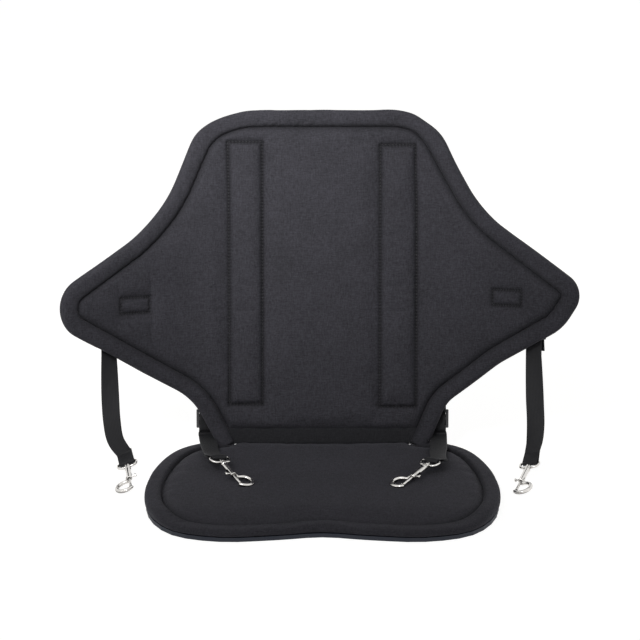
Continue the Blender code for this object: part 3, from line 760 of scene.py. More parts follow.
padded_pieces = (back_panel, back_rim, seat_panel, seat_rim)
pucker_depth = {"backrest_border": 0.0011, "seat_border": 0.0006}
for number, piece in enumerate(padded_pieces):
    smoothed(piece)
    if piece.name in pucker_depth:
        pucker(piece, pucker_depth[piece.name], 4.0 * number)
    keep_flat_places(piece)
print("folds every", fold_pitch * 1000, "mm")


# %% How near each point is to a seam, as an attribute
def keep_seams(piece, edge, lines):
    """How far along its seam each point is, and how near the stitching and the border."""
    places = coordinates(piece)[:, :2]
    near_edge = distance_to_path(places, edge)
    best, along = np.full(len(places), 1.0), np.zeros(len(places))
    for line in lines:
        near = distance_to_lines(places, [line])
        axis = 0 if line[0][1] == line[1][1] else 1
        along = np.where(near < best, places[:, axis], along)
        best = np.minimum(best, near)
    # stitched and bordered set how much painted shade the seam group puts along the stitching and
    # the border groove
    stitched, bordered = np.exp(-(best / 0.0026) ** 2), np.exp(-(near_edge / 0.0045) ** 2)
    keep_vectors(piece, "seam", np.stack([along, stitched, bordered], axis=1))


keep_seams(back_panel, panel_edge, back_seams)
keep_seams(back_rim, inset(back_edge, back_rim_width, False), [])
keep_seams(seat_panel, seat_panel_edge, [])
keep_seams(seat_rim, seat_seam, [])
print("seams kept on", len(padded_pieces), "pieces")


# %% Where the stitches go, and the bending
def front_levels(piece, points):
    """The level of a piece's front face at flat places."""
    tree = kdtree.KDTree(len(piece.data.vertices))
    for vert in piece.data.vertices:
        if vert.co.z > 0:
            tree.insert((vert.co.x, vert.co.y, 0.0), vert.index)
    tree.balance()
    return [piece.data.vertices[tree.find((u, v, 0.0))[1]].co.z for u, v in points]


stitch_places = []
for line in back_seams:
    a, b = np.array(line[0]), np.array(line[1])
    flat = [tuple(a + (b - a) * i / 60) for i in range(61)]
    levels = front_levels(back_panel, flat)
    stitch_places.append([(u, v, level + 0.0001) for (u, v), level in zip(flat, levels)])
for piece in (back_panel, back_rim):
    set_coordinates(piece, bend(stretched(coordinates(piece))))
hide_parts("backrest_front_panel", "backrest_foam_core")
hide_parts("backrest_rim")
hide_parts("seat_top_panel", "seat_foam_core")
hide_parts("seat_rim")
for piece in padded_pieces:
    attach(piece, "pads")
    print(piece.name, len(piece.data.polygons), "faces")

# %% Back lining
lining = panel("backrest_lining", panel_edge, -skin_out - 0.0006, -core_half - 0.0004,
               2 * grid_step)
smoothed(lining)
keep_flat_places(lining)
set_coordinates(lining, bend(stretched(coordinates(lining))))
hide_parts("backrest_back_panel")
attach(lining, "pads")
print("lining:", len(lining.data.polygons), "faces")

# %% Hinge band between the pads
band_half = 0.113
band_path = [Vector((-band_half + 2 * band_half * i / 60, 0.0050)) for i in range(61)]
band_section = soft_section(0.0200, 0.0060, 16, 0.55)
band_places = flat_places(band_path, False)
hinge_band = add_piece("hinge_band",
                       sweep(band_section, band_places, lengths_along(band_path)))
smoothed(hinge_band)
set_coordinates(hinge_band, bend(coordinates(hinge_band)))
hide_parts("hinge_strip")
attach(hinge_band, "pads")
print("hinge band:", len(hinge_band.data.polygons), "faces")

# %% [markdown]
# ## Webbing
# The straps and tabs are 20 mm polypropylene webbing, with ribs along its length. The
# ribs are real: the section of each band is a shallow comb of them. A strap runs down
# from its tail, over the slider's middle bar, down behind the pad and round the hook's
# crossbar, where it is folded back and sewn.

# %% Ribbed band
webbing_width, webbing_thickness, loop_width = 0.020, 0.0015, 0.0175
rib_count, rib_depth = 12, 0.00014


def ribbed_section(width, thickness):
    top = []
    steps = rib_count * 4
    for i in range(steps + 1):
        share = i / steps
        edge = min(share, 1 - share) * width
        round_off = math.sqrt(max(0.0, 1 - (1 - min(edge / (0.45 * thickness), 1)) ** 2))
        rib = rib_depth * (0.5 - 0.5 * math.cos(2 * math.pi * rib_count * share))
        top.append(((share - 0.5) * width, (thickness / 2 - rib_depth + rib) * round_off))
    return top + [(a, -b) for a, b in top[-2:0:-1]]


def resampled(path, values, step):
    """The same line with evenly spaced points, and the values that go with them."""
    along = lengths_along(path)
    count = max(2, math.ceil(along[-1] / step))
    wanted = np.linspace(0, along[-1], count + 1)
    places = zip(*(np.interp(wanted, along, [p[i] for p in path]) for i in range(3)))
    extra = [np.interp(wanted, along, v) for v in values]
    return [Vector(p) for p in places], extra


def band(name, path, ways, widths, step=0.0009):
    """Ribbed webbing along a line, with the way its width lies and its width at each point."""
    values = [[w[i] for w in ways] for i in range(3)] + [widths]
    points, extra = resampled(path, values, step)
    for _ in range(3):
        inner = [(a + 2 * b + c) / 4 for a, b, c in zip(points, points[1:], points[2:])]
        points = [points[0]] + inner + [points[-1]]
    places = []
    for i, here in enumerate(points):
        run = (points[min(i + 1, len(points) - 1)] - points[max(i - 1, 0)]).normalized()
        way = Vector((extra[0][i], extra[1][i], extra[2][i]))
        way = (way - run * way.dot(run)).normalized()
        thick = run.cross(way).normalized()
        places.append(placing(way * (extra[3][i] / webbing_width), thick, run, here))
    made = sweep(ribbed_section(webbing_width, webbing_thickness), places, lengths_along(points))
    piece = add_piece(name, made)
    piece.data.shade_smooth()
    return piece, lengths_along(points)[-1]


print("ribbed section:", len(ribbed_section(webbing_width, webbing_thickness)), "points")

# %% Where the tabs, sliders and hooks are
gap = 0.0003
rim_face, tab_face = back_rim_thickness / 2, skin_out + gap + webbing_thickness / 2
slider_bar, slider_slot, slider_wall, slider_thickness = 0.0032, 0.0060, 0.0030, 0.0024
bar_turn = math.hypot(slider_bar / 2, slider_thickness / 2) + gap + webbing_thickness / 2
slider_back = rim_face + gap + webbing_thickness / 2 + bar_turn
slider_pitch = slider_bar / 2 + slider_slot + slider_wall / 2
foot_strap_half, foot_slider_up = 0.129, 0.024
wing_strap_half = {"left": 0.250, "right": 0.246}
wing_slider_up = {"left": 0.1391, "right": 0.1319}
wire_radius = 0.0015


def axes_at(across, up):
    step = 0.0001
    a = (bend_one(across + step, up, 0) - bend_one(across - step, up, 0)).normalized()
    b = (bend_one(across, up + step, 0) - bend_one(across, up - step, 0)).normalized()
    c = (bend_one(across, up, step) - bend_one(across, up, -step)).normalized()
    return a, b, c


def half_turn(count):
    return [math.pi * k / count for k in range(count + 1)]


def hook_frame(name, loop_outwards):
    """A hook's crossbar, axis, crossbar direction and placing matrix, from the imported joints."""
    joints = {joint["name"]: joint for joint in frame["joints"]}
    bar = Vector(joints[name + "_tilt"]["pos_m"])
    axis = -Vector(joints[name + "_bolt_slide"]["axis"]).normalized()
    side = Vector(joints[name + "_tilt"]["axis"]).normalized()
    if side.x * loop_outwards < 0:
        side = -side
    return bar, axis, side, placing(axis, side, axis.cross(side), bar)


hook_places = {}
for side, sign in outwards.items():
    hook_places["side_hook_" + side] = hook_frame("side_hook_" + side, sign)
    hook_places["lower_hook_" + side] = hook_frame("lower_hook_" + side, -sign)
print("hooks:", ", ".join(hook_places))

# %% Tabs
def tab_line(across, top, lift, slider_up):
    """Down the back of the pad, round the slider's top bar and up again behind."""
    bar = slider_up + slider_pitch
    near, far = -slider_back + bar_turn, -slider_back - bar_turn
    layer = webbing_thickness + gap
    line = [(top, -tab_face), (0.5 * (top + lift), -tab_face), (lift, -tab_face)]
    line += [(0.6 * bar + 0.4 * lift, near), (bar + 0.001, near)]
    line += [(bar - bar_turn * math.sin(t), -slider_back + bar_turn * math.cos(t))
             for t in half_turn(6)]
    line += [(bar + 0.001, far), (0.6 * bar + 0.4 * lift, near - 1.4 * layer)]
    line += [(lift, -tab_face - 1.1 * layer), (0.5 * (top + lift), -tab_face - layer)]
    return [bend_one(across, up, out) for up, out in line]


def finish_band(piece, node):
    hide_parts(node)
    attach(piece, "pads")


def add_tab(name, node, line, way):
    piece, length = band(name, line, [way] * len(line), [webbing_width] * len(line))
    finish_band(piece, node)
    bands.append(piece)


bands = []
lower_tab_top, lower_tab_lift = 0.1125, 0.0825
for side, sign in outwards.items():
    across = sign * foot_strap_half
    line = tab_line(across, lower_tab_top, lower_tab_lift, foot_slider_up)
    add_tab("lower_tab_webbing_" + side, "lower_tab_" + side, line,
            axes_at(across, foot_slider_up)[0])

    across = sign * wing_strap_half[side]
    fold = box_up + webbing_width / 2 - gap
    along, upwards, forward = axes_at(across, fold)
    line = tab_line(across, fold, box_up + 0.001, wing_slider_up[side])
    line = [p - forward * 0.0004 for p in line]
    add_tab("wing_tab_fold_" + side, "wing_tab_" + side, line, along)

    start, end = box_half_across - 0.019, wing_strap_half[side] + webbing_width / 2 + 0.0005
    line = [bend_one(sign * (start + (end - start) * i / 8), box_up, -tab_face)
            for i in range(9)]
    add_tab("wing_tab_band_" + side, "wing_tab_" + side, line, upwards)
print("tabs:", len(bands), "bands")

# %% Lines of the straps
# places that each strap passes between its slider and its hook
side_runs = {
    "left": [(-0.2373, 0.0886, 0.0829), (-0.2357, 0.0837, 0.0563), (-0.2320, 0.0807, 0.0361)],
    "right": [(0.2375, 0.0887, 0.0829), (0.2384, 0.0807, 0.0573), (0.2373, 0.0757, 0.0378)],
}
lower_runs = {
    "left": [(-0.1325, 0.1405, 0.0238), (-0.1315, 0.1330, 0.0215), (-0.1300, 0.1190, 0.0210),
             (-0.1270, 0.0940, 0.0225), (-0.1240, 0.0680, 0.0255)],
    "right": [(0.1325, 0.1405, 0.0238), (0.1325, 0.1330, 0.0215), (0.1320, 0.1190, 0.0210),
              (0.1310, 0.0940, 0.0225), (0.1285, 0.0680, 0.0255)],
}


def smooth_run(points, count):
    held = [points[0] * 2 - points[1]] + points + [points[-1] * 2 - points[-2]]
    run = []
    for four in zip(held, held[1:], held[2:], held[3:]):
        run += spline(*four, count)
    return run + [points[-1]]


# %% From the tail to the hook's crossbar
tail, sewn_from, sewn_to = 0.024, 0.014, 0.020


def strap_line(across_at, slider_up, clear_of, run, bar, cross, back):
    """The strap's points, the way its width lies, and its width, from tail to loop."""
    across, up, forward = axes_at(across_at, slider_up)
    at = bend_one(across_at, slider_up, -slider_back)
    down = slider_pitch + slider_wall / 2 + 0.002
    path = [at - up * tail - forward * (bar_turn + 0.0012),
            at - up * down - forward * bar_turn]
    path += [at + up * (bar_turn * math.sin(t) + 0.0028) - forward * (bar_turn * math.cos(t))
             for t in half_turn(6)]
    path.append(at - up * down + forward * bar_turn)
    if clear_of:
        path.append(bend_one(across_at, clear_of, -slider_back + bar_turn))
    ways = [across] * len(path)
    cross = cross if cross.dot(across) > 0 else -cross
    ring = wire_radius + gap + webbing_thickness / 2
    layer = (webbing_thickness + gap) / 2
    over = back.cross(cross).normalized()
    over = over if over.z > 0 else -over
    near = bar + back * sewn_from + over * layer
    free = smooth_run([path[-1]] + [Vector(p) for p in run] + [near], 5)[1:-1]
    path += free
    shares = [(i + 1) / len(free) for i in range(len(free))]
    ahead = Vector((1, 0, 0)) if clear_of else across
    for share in shares:
        near_way = across.lerp(ahead, min(share / 0.35, 1.0))
        ways.append(near_way.lerp(cross, min(max((share - 0.45) / 0.45, 0.0), 1.0)))
    widths = [webbing_width] * (len(path) - len(free))
    widths += [webbing_width + (loop_width - webbing_width) * share ** 4 for share in shares]
    end = [near, bar + back * 0.006 + over * (0.75 * ring)]
    end += [bar - back * (ring * math.sin(t)) + over * (ring * math.cos(t))
            for t in half_turn(8)]
    end += [bar + back * 0.006 - over * (0.75 * ring), bar + back * sewn_from - over * layer,
            bar + back * sewn_to - over * layer]
    return path + end, ways + [cross] * len(end), widths + [loop_width] * len(end)


def wing_edge(across):
    slope = (wing_height - elbow_height) / (wing_half - elbow_half)
    return elbow_height + (abs(across) - elbow_half) * slope


# %% Straps
def hang_strap(name, node, line):
    piece, length = band(name, *line)
    finish_band(piece, node)
    bands.append(piece)
    print(name, "is", round(length * 1000), "mm of webbing")


for side, sign in outwards.items():
    bar, _, hook_side, _ = hook_places["side_hook_" + side]
    cross = hook_side if hook_side.x > 0 else -hook_side
    rise = cross.cross(Vector((0, -0.86, -0.5))).normalized()
    back = cross.cross(rise)
    back = (back if back.z > 0 else -back).normalized()
    half = wing_strap_half[side]
    hang_strap("side_strap_webbing_" + side, "side_strap_" + side,
               strap_line(sign * half, wing_slider_up[side], wing_edge(half) - webbing_width / 2,
                          side_runs[side], bar, cross, back))

    bar, axis, hook_side, _ = hook_places["lower_hook_" + side]
    cross = hook_side if hook_side.x > 0 else -hook_side
    back = (-axis - Vector((0, 0, 0.30))).normalized()
    back = (back - cross * back.dot(cross)).normalized()
    hang_strap("lower_strap_webbing_" + side, "lower_strap_" + side,
               strap_line(sign * foot_strap_half, foot_slider_up, None, lower_runs[side],
                          bar, cross, back))

# %% [markdown]
# ## Snap hooks
# Each hook is die-cast and nickel-plated: a wire eye with a bored boss, a body whose
# pin turns in the boss, and a sliding bolt with a thumb knob. Turned shapes are spun
# from half a profile, bent ones are swept, and booleans join them and cut the bore and
# the slot. One set of meshes serves all four hooks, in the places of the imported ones.

# %% Measures of a hook
boss_radius, boss_length, pin_radius = 0.0032, 0.0043, 0.00145
crossbar_at = -(boss_length / 2 + gap + 0.0100)
collar_radius, collar_length, barrel_radius, barrel_end = 0.0036, 0.0040, 0.0031, 0.0275
bore_radius, bore_floor, bore_run_out = 0.00185, 0.007, 0.007
loop_wire, loop_radius, loop_centre, loop_offset = 0.0020, 0.0095, 0.0415, 0.0060
loop_tip = math.radians(-50)
bolt_radius, bolt_start, bolt_travel = 0.0015, 0.0165, 0.007
knob_at, knob_pin, knob_reach, knob_head = 0.0235, 0.00105, 0.0085, 0.0020
hook_length = loop_centre + loop_radius + loop_wire - crossbar_at
print("a hook is", round(hook_length * 1000, 1), "mm from crossbar to tip")


# %% Turned and bent metal
def turned(profile, steps=32):
    """Spins half a profile, given as (along, radius), about the X axis."""
    bm = bmesh.new()
    verts = [bm.verts.new((x, r, 0)) for x, r in profile]
    edges = [bm.edges.new(pair) for pair in zip(verts, verts[1:])]
    bmesh.ops.spin(bm, geom=verts + edges, cent=(0, 0, 0), axis=(1, 0, 0), angle=2 * math.pi,
                   steps=steps, use_merge=True)
    bmesh.ops.remove_doubles(bm, verts=bm.verts, dist=1e-6)
    bmesh.ops.recalc_face_normals(bm, faces=bm.faces)
    return add_piece("turned", bm)


def rounded_rod(start, end, radius, edge=0.0004):
    """The profile of a rod whose two ends are rounded."""
    arc = [math.radians(a) for a in (0, 30, 60, 90)]
    cut = [(edge * (1 - math.sin(a)), radius - edge * (1 - math.cos(a))) for a in arc]
    first = [(start + along, out) for along, out in cut[::-1]]
    last = [(end - along, out) for along, out in cut]
    return [(start, 0.0)] + first + last + [(end, 0.0)]


def bent_wire(path, radii, closed=False, sides=16):
    """Round wire along points in the XY plane, with a radius at each point."""
    places = []
    for i, here in enumerate(path):
        before = path[i - 1] if closed or i else here
        after = path[(i + 1) % len(path)] if closed or i < len(path) - 1 else here
        run = (after - before).normalized()
        side = Vector((run.y, -run.x, 0))
        places.append(placing(side * radii[i], Vector((0, 0, 1)) * radii[i], run, here))
    turns = [2 * math.pi * k / sides for k in range(sides)]
    ring = [(math.cos(t), math.sin(t)) for t in turns]
    return add_piece("bent", sweep(ring, places, lengths_along(path), closed))


def combine(whole, parts, operation):
    for part in parts:
        change = whole.modifiers.new(operation.lower(), "BOOLEAN")
        change.operation = operation
        change.object = part
    bpy.context.view_layer.update()
    apply_modifiers(whole)
    for part in parts:
        bpy.data.objects.remove(part, do_unlink=True)
    return whole


# %% Eye
def make_eye():
    half = loop_width / 2 + gap / 2 + 0.0025
    near = -boss_length / 2 - gap
    corners = [(near, 0, 0), (near, half * 0.86, 0.0052), (crossbar_at, half, 0.0025),
               (crossbar_at, -half, 0.0025), (near, -half * 0.86, 0.0052), (near, 0, 0)]
    path = [p.to_3d() for p in rounded_path(corners, 0.0011)[:-1]]
    eye = bent_wire(path, [wire_radius] * len(path), closed=True)
    boss = turned(rounded_rod(near - boss_length / 2, near + boss_length / 2, boss_radius))
    combine(eye, [boss], "UNION")
    bore = turned([(near - boss_length, 0), (near - boss_length, pin_radius + gap),
                   (near + boss_length, pin_radius + gap), (near + boss_length, 0)])
    return combine(eye, [bore], "DIFFERENCE")


# %% Body
def make_body():
    head_at = -boss_length - 2 * gap
    groove = collar_radius - 0.0005
    body = turned([
        (head_at - 0.0020, 0.0), (head_at - 0.0020, 0.0012), (head_at - 0.0015, 0.0022),
        (head_at - 0.0006, 0.0026), (head_at, 0.0026), (head_at, pin_radius),
        (0.0, pin_radius), (0.0, collar_radius - 0.0004), (0.0003, collar_radius),
        (0.0014, collar_radius), (0.0017, groove), (0.0021, groove), (0.0024, collar_radius),
        (collar_length - 0.0004, collar_radius), (collar_length + 0.0003, barrel_radius),
        (barrel_end - 0.0005, barrel_radius), (barrel_end, barrel_radius - 0.0005),
        (barrel_end, 0.0)])
    start = math.pi + math.asin((loop_offset - barrel_radius) / loop_radius)
    centre = Vector((loop_centre, loop_offset, 0))
    path = [Vector((barrel_end - 0.006 + 0.002 * i, barrel_radius - 0.0003, 0))
            for i in range(4)]
    radii = [0.0012, 0.0016, 0.0018, 0.0020]
    count = 40
    bends = [(start + (loop_tip - start) * i / count, 1.0 + 0.12 * math.sin(math.pi * i / count))
             for i in range(count + 1)]
    bends += [(loop_tip - 0.035 * (i + 1), share)
              for i, share in enumerate((0.97, 0.86, 0.62, 0.25))]
    for t, share in bends:
        path.append(centre + Vector((math.cos(t), math.sin(t), 0)) * loop_radius)
        radii.append(loop_wire * share)
    combine(body, [bent_wire(path, radii)], "UNION")
    bore_end = barrel_end + bore_run_out
    bore = turned([(bore_floor, 0), (bore_floor, bore_radius), (bore_end, bore_radius),
                   (bore_end, 0)])
    slot = bmesh.new()
    bmesh.ops.create_cube(slot, size=1.0)
    low, high = knob_at - bolt_travel - knob_pin - 0.0004, knob_at + knob_pin + 0.0004
    bmesh.ops.scale(slot, vec=(high - low, 2 * barrel_radius, 2 * (knob_pin + gap)),
                    verts=slot.verts)
    bmesh.ops.translate(slot, vec=((low + high) / 2, -barrel_radius, 0), verts=slot.verts)
    return combine(body, [bore, add_piece("slot", slot)], "DIFFERENCE")


# %% Bolt
def make_bolt():
    end = loop_centre + loop_radius * math.cos(loop_tip) - loop_wire - 0.0003
    bolt = turned(rounded_rod(bolt_start, end, bolt_radius))
    pin = turned(rounded_rod(0.0, knob_reach - 0.0004, knob_pin, 0.0002), 20)
    head = turned([(knob_reach - 0.0020, 0), (knob_reach - 0.0020, knob_head - 0.0003),
                   (knob_reach - 0.0017, knob_head), (knob_reach - 0.0008, knob_head),
                   (knob_reach - 0.0002, knob_head - 0.0006), (knob_reach, 0)])
    stand = Matrix.Translation((knob_at, 0, 0)) @ Matrix.Rotation(-math.pi / 2, 4, "Z")
    for part in (pin, head):
        part.data.transform(stand)
    return combine(bolt, [pin, head], "UNION")


# %% Hooks in their places
metal_pieces = []
for part_name, make in (("eye", make_eye), ("body", make_body), ("bolt", make_bolt)):
    master = make()
    master.data.transform(Matrix.Translation((-crossbar_at, 0, 0)))
    for hook, (_, _, _, place) in hook_places.items():
        mesh = master.data.copy()
        mesh.transform(place)
        mesh.shade_smooth()
        mesh.set_sharp_from_angle(angle=math.radians(35))
        piece = new_object(hook + "_" + part_name + "_plated", mesh)
        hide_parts(hook + "_" + part_name)
        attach(piece, hook + "_" + {"eye": "eye", "body": "snap", "bolt": "bolt"}[part_name])
        metal_pieces.append(piece)
    print("hook", part_name, len(master.data.polygons), "faces")
    bpy.data.objects.remove(master, do_unlink=True)

# %% [markdown]
# ## Stitches
# Thread shows round the two stay channels and round the two box stitches on the wings.
# Each stitch is a small spindle that lies along its line.

# %% Thread
def add_stitch(bm, a, b, radius):
    run = (b - a)
    turn = run.to_track_quat("X", "Z").to_matrix().to_4x4()
    size = Matrix.Diagonal((run.length / 2, radius, radius, 1))
    bmesh.ops.create_uvsphere(bm, u_segments=6, v_segments=4, radius=1,
                              matrix=Matrix.Translation((a + b) / 2) @ turn @ size)


def stitch_rows(name, rows, pitch, length, radius=0.00032):
    """Rows of stitches along polylines of places."""
    bm = bmesh.new()
    for row in rows:
        along = lengths_along(row)
        count = int(along[-1] / pitch)
        for i in range(count):
            middle = (i + 0.5) * along[-1] / count
            a, b = (Vector([np.interp(end, along, [p[k] for p in row]) for k in range(3)])
                    for end in (middle - length / 2, middle + length / 2))
            add_stitch(bm, a, b, radius)
    piece = add_piece(name, bm)
    piece.data.shade_smooth()
    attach(piece, "pads")
    print(name, len(piece.data.polygons), "faces")
    return piece


def on_front(places):
    """A stitch line of the front panel, bent into place."""
    return [Vector(p) for p in bend(stretched(np.array(places)))]


stitch_lines = [on_front(places) for places in stitch_places]
channel_pitch = 0.0037
threads = [
    stitch_rows("channel_stitching", stitch_lines[:len(channel_lines)],
                pitch=channel_pitch, length=0.0028),
    stitch_rows("wing_box_stitching", stitch_lines[len(channel_lines):],
                pitch=0.0030, length=0.0023),
]

# %% [markdown]
# ## Fabric finishes
# The cover is charcoal polyester: a plain weave with a fine heather of lighter and
# darker threads, matt, with a faint fuzz at grazing angles. The webbing and the lining
# are the same idea with other threads. The weave is one node group, whose two thread
# directions come from the flat cloth places. A second group paints shade into the
# seams, darkening the colour along the stitching and the border groove, and dents the
# cloth at each stitch.

# %% Weave group
def weave_group():
    tree, given, out = new_group("weave", [
        ("Place", "Vector", None), ("Dark", "Color", (0.02, 0.02, 0.02, 1)),
        ("Light", "Color", (0.05, 0.05, 0.05, 1)), ("Threads", "Float", 340.0),
        ("Fleck", "Float", 0.5), ("Dull", "Float", 0.85)],
        [("Colour", "Color"), ("Roughness", "Float"), ("Height", "Float")])
    place = given["Place"]
    both_ways = [waves(tree, place, given["Threads"], way, Distortion=0.6) for way in "XY"]
    threads = maths(tree, "MAXIMUM", *both_ways)
    fine = noise_in(tree, place, 620.0, 3.0)
    broad = noise_in(tree, place, 22.0, 4.0)
    slubs = []
    for scale in ((0.22, 1.0, 1.0), (1.0, 0.22, 1.0)):
        drawn = add_node(tree, "Mapping", {"Vector": place, "Scale": scale}).outputs[0]
        slubs.append(noise_in(tree, drawn, 700.0, 2.0))
    drawn = maths(tree, "SUBTRACT", maths(tree, "ADD", *slubs), 1.0)
    fleck = maths(tree, "ADD", maths(tree, "SUBTRACT", fine, 0.5), drawn)
    fleck = maths(tree, "MULTIPLY", fleck, given["Fleck"])
    tone = maths(tree, "MULTIPLY_ADD", threads, 0.35, fleck)
    tone = maths(tree, "MULTIPLY_ADD", broad, 0.55, tone)
    tone = maths(tree, "ADD", tone, 0.05, clamp=True)
    tree.links.new(mix_colour(tree, tone, given["Dark"], given["Light"]), out["Colour"])
    dull = maths(tree, "MULTIPLY_ADD", broad, 0.12, given["Dull"], clamp=True)
    tree.links.new(dull, out["Roughness"])
    tree.links.new(maths(tree, "MULTIPLY_ADD", fine, 0.5, threads), out["Height"])
    return tree


weave = weave_group()
print("weave group:", len(weave.nodes), "nodes")


# %% Seam group
def seam_group():
    tree, given, out = new_group("seam shade", [
        ("Seam", "Vector", None), ("Colour", "Color", (0.05, 0.05, 0.05, 1))],
        [("Colour", "Color"), ("Height", "Float")])
    split = add_node(tree, "SeparateXYZ", {0: given["Seam"]}).outputs
    # painted shade: the colour darkens along the stitching, deeper at each pucker, and along the
    # border groove, where shade falls in the seams
    turns = maths(tree, "MULTIPLY", split["X"], 2 * math.pi / channel_pitch)
    gathers = maths(tree, "MULTIPLY_ADD", maths(tree, "COSINE", turns), 0.5, 0.5)
    depth = maths(tree, "MULTIPLY_ADD", gathers, 0.22, 0.62)
    line = maths(tree, "MULTIPLY", split["Y"], depth)
    dark = maths(tree, "MAXIMUM", line, maths(tree, "MULTIPLY", split["Z"], 0.62))
    # the near-black seam colour is painted shade
    colour = mix_colour(tree, dark, given["Colour"], (0.006, 0.006, 0.007, 1))
    tree.links.new(colour, out["Colour"])
    tree.links.new(maths(tree, "MULTIPLY", split["Y"], gathers), out["Height"])
    return tree


seam_shade = seam_group()
print("seam group:", len(seam_shade.nodes), "nodes")


# %% Fabric materials
def cloth_material(name, dark, light, threads, fleck, dull, bump, sheen, seams=False):
    made, tree, shader, place = new_material(name, "cloth")
    values = {"Place": place, "Dark": (*dark, 1), "Light": (*light, 1), "Threads": threads,
              "Fleck": fleck, "Dull": dull}
    woven = add_node(tree, "Group", values, node_tree=weave).outputs
    normal = bumped(tree, woven["Height"], bump, 0.0003)
    colour = woven["Colour"]
    if seams:
        # the seam group paints shade into the grooves along the seams and the border, and dents
        # the cloth at each stitch
        seam = add_node(tree, "Attribute", attribute_name="seam").outputs["Vector"]
        seam_shaded = add_node(tree, "Group", {"Seam": seam, "Colour": colour},
                        node_tree=seam_shade).outputs
        normal = bumped(tree, seam_shaded["Height"], 0.7, 0.0009, Normal=normal)
        colour = seam_shaded["Colour"]
    set_surface(tree, shader, colour, woven["Roughness"])
    tree.links.new(normal, shader.inputs["Normal"])
    shader.inputs["Specular IOR Level"].default_value = 0.25
    shader.inputs["Sheen Weight"].default_value = sheen
    shader.inputs["Sheen Roughness"].default_value = 0.45
    shader.inputs["Sheen Tint"].default_value = (0.75, 0.75, 0.85, 1)
    return made


cover = cloth_material("charcoal cover", (0.016, 0.016, 0.019), (0.060, 0.058, 0.070),
                       threads=340, fleck=0.85, dull=0.80, bump=0.5, sheen=0.06, seams=True)
lining_cloth = cloth_material("black lining", (0.010, 0.010, 0.012), (0.030, 0.030, 0.034),
                              threads=260, fleck=0.8, dull=0.85, bump=0.5, sheen=0.05)
for piece in padded_pieces:
    piece.data.materials.append(cover)
lining.data.materials.append(lining_cloth)
hinge_band.data.materials.append(lining_cloth)
print("cover and lining are woven")


# %% Webbing material
def webbing_material():
    made, tree, shader, place = new_material("black webbing", "cloth")
    ribs = waves(tree, place, 188.5, "X", **{"Phase Offset": math.pi})
    slanted = add_node(tree, "Mapping", {"Vector": place, "Rotation": (0, 0, math.radians(38))})
    picks = waves(tree, slanted.outputs[0], 330.0, "Y", Distortion=0.8)
    fuzz = noise_in(tree, place, 700.0, 3.0)
    tone = maths(tree, "MULTIPLY_ADD", ribs, 0.45, maths(tree, "MULTIPLY", picks, 0.25))
    tone = maths(tree, "MULTIPLY_ADD", fuzz, 0.3, tone, clamp=True)
    colour = mix_colour(tree, tone, (0.005, 0.005, 0.006, 1), (0.022, 0.022, 0.025, 1))
    set_surface(tree, shader, colour, maths(tree, "MULTIPLY_ADD", fuzz, 0.25, 0.5))
    height = maths(tree, "MULTIPLY_ADD", picks, 0.6, ribs)
    tree.links.new(bumped(tree, height, 0.6, 0.0002), shader.inputs["Normal"])
    shader.inputs["Specular IOR Level"].default_value = 0.28
    shader.inputs["Sheen Weight"].default_value = 0.03
    return made


webbing_cloth = webbing_material()
for piece in bands:
    piece.data.materials.append(webbing_cloth)
print("webbing on", len(bands), "pieces")

# %% Thread material
def thread_material():
    made, tree, shader, place = new_material("black thread")
    twist = noise_in(tree, place, 1500.0, 2.0)
    colour = mix_colour(tree, twist, (0.006, 0.006, 0.007, 1), (0.026, 0.026, 0.030, 1))
    set_surface(tree, shader, colour, maths(tree, "MULTIPLY_ADD", twist, 0.3, 0.4))
    return made


thread = thread_material()
for piece in threads:
    piece.data.materials.append(thread)
print("thread on", len(threads), "pieces")

# %% [markdown]
# ## Metal, plastic and rubber
# The plating is bright, with faint handling marks that roughen it in patches. The
# sliders are moulded plastic with a fine grain. The sheet under the pad is dark navy,
# with a pattern of small raised dots that grips the boat.

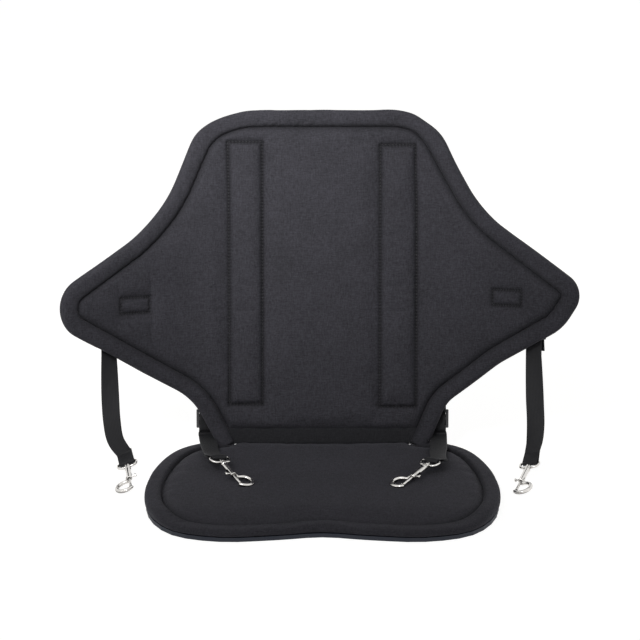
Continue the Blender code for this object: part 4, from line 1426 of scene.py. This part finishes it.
# %% Plated metal
def nickel_material(name, colour, low, high):
    made, tree, shader, place = new_material(name)
    patches = noise_in(tree, place, 260.0, 4.0)
    marks = noise_in(tree, place, 1400.0, 2.0)
    darker = tuple(c * 0.80 for c in colour)
    bright = mix_colour(tree, patches, (*darker, 1), (*colour, 1))
    # painted shade: the colour turns dark brown in the hooks' hollows, as far as the ambient
    # occlusion node finds them shut in
    openness = add_node(tree, "AmbientOcclusion", {"Distance": 0.006}, samples=8).outputs["AO"]
    unshaded = maths(tree, "POWER", openness, 1.6)
    colour = mix_colour(tree, unshaded, (0.050, 0.042, 0.038, 1), bright)
    shader.inputs["Metallic"].default_value = 1.0
    set_surface(tree, shader, colour, maths(tree, "MULTIPLY_ADD", patches, high - low, low))
    tree.links.new(bumped(tree, marks, 0.08, 0.0001), shader.inputs["Normal"])
    return made


# %% Plastic, and the grip sheet
def moulded_material(name, dark, light, low, high, scale):
    made, tree, shader, place = new_material(name)
    grain = noise_in(tree, place, scale, 3.0)
    set_surface(tree, shader, mix_colour(tree, grain, (*dark, 1), (*light, 1)),
                maths(tree, "MULTIPLY_ADD", grain, high - low, low))
    tree.links.new(bumped(tree, grain, 0.15, 0.0002), shader.inputs["Normal"])
    return made


def grip_material():
    made, tree, shader, place = new_material("navy grip sheet")
    cells = add_node(tree, "TexVoronoi", {"Vector": place, "Scale": 260.0, "Randomness": 0.0})
    dots = maths(tree, "LESS_THAN", cells.outputs["Distance"], 0.28)
    scuffs = noise_in(tree, place, 60.0, 4.0)
    colour = mix_colour(tree, scuffs, (0.004, 0.006, 0.013, 1), (0.009, 0.013, 0.026, 1))
    set_surface(tree, shader, colour, maths(tree, "MULTIPLY_ADD", scuffs, 0.25, 0.5))
    tree.links.new(bumped(tree, dots, 0.5, 0.0003), shader.inputs["Normal"])
    return made


# %% Hard finishes in place
nickel = nickel_material("nickel plate", (0.80, 0.78, 0.75), 0.08, 0.26)
spring_steel = nickel_material("spring steel", (0.50, 0.50, 0.51), 0.25, 0.45)
slider_plastic = moulded_material("slider plastic", (0.045, 0.045, 0.048),
                                  (0.075, 0.075, 0.080), 0.22, 0.40, 500.0)
stay_plastic = moulded_material("stay plastic", (0.06, 0.06, 0.06), (0.10, 0.10, 0.10),
                                0.45, 0.65, 300.0)
grip = grip_material()
for piece in metal_pieces:
    piece.data.materials.append(nickel)


def dress_node(name, finish):
    nodes[name].data.materials.clear()
    nodes[name].data.materials.append(finish)


dress_node("seat_base_sheet", grip)
for side in outwards:
    dress_node("stay_" + side, stay_plastic)
    for kind in ("side", "lower"):
        dress_node(f"{kind}_slider_{side}", slider_plastic)
        dress_node(f"{kind}_hook_{side}_spring", spring_steel)
print("plated pieces:", len(metal_pieces))
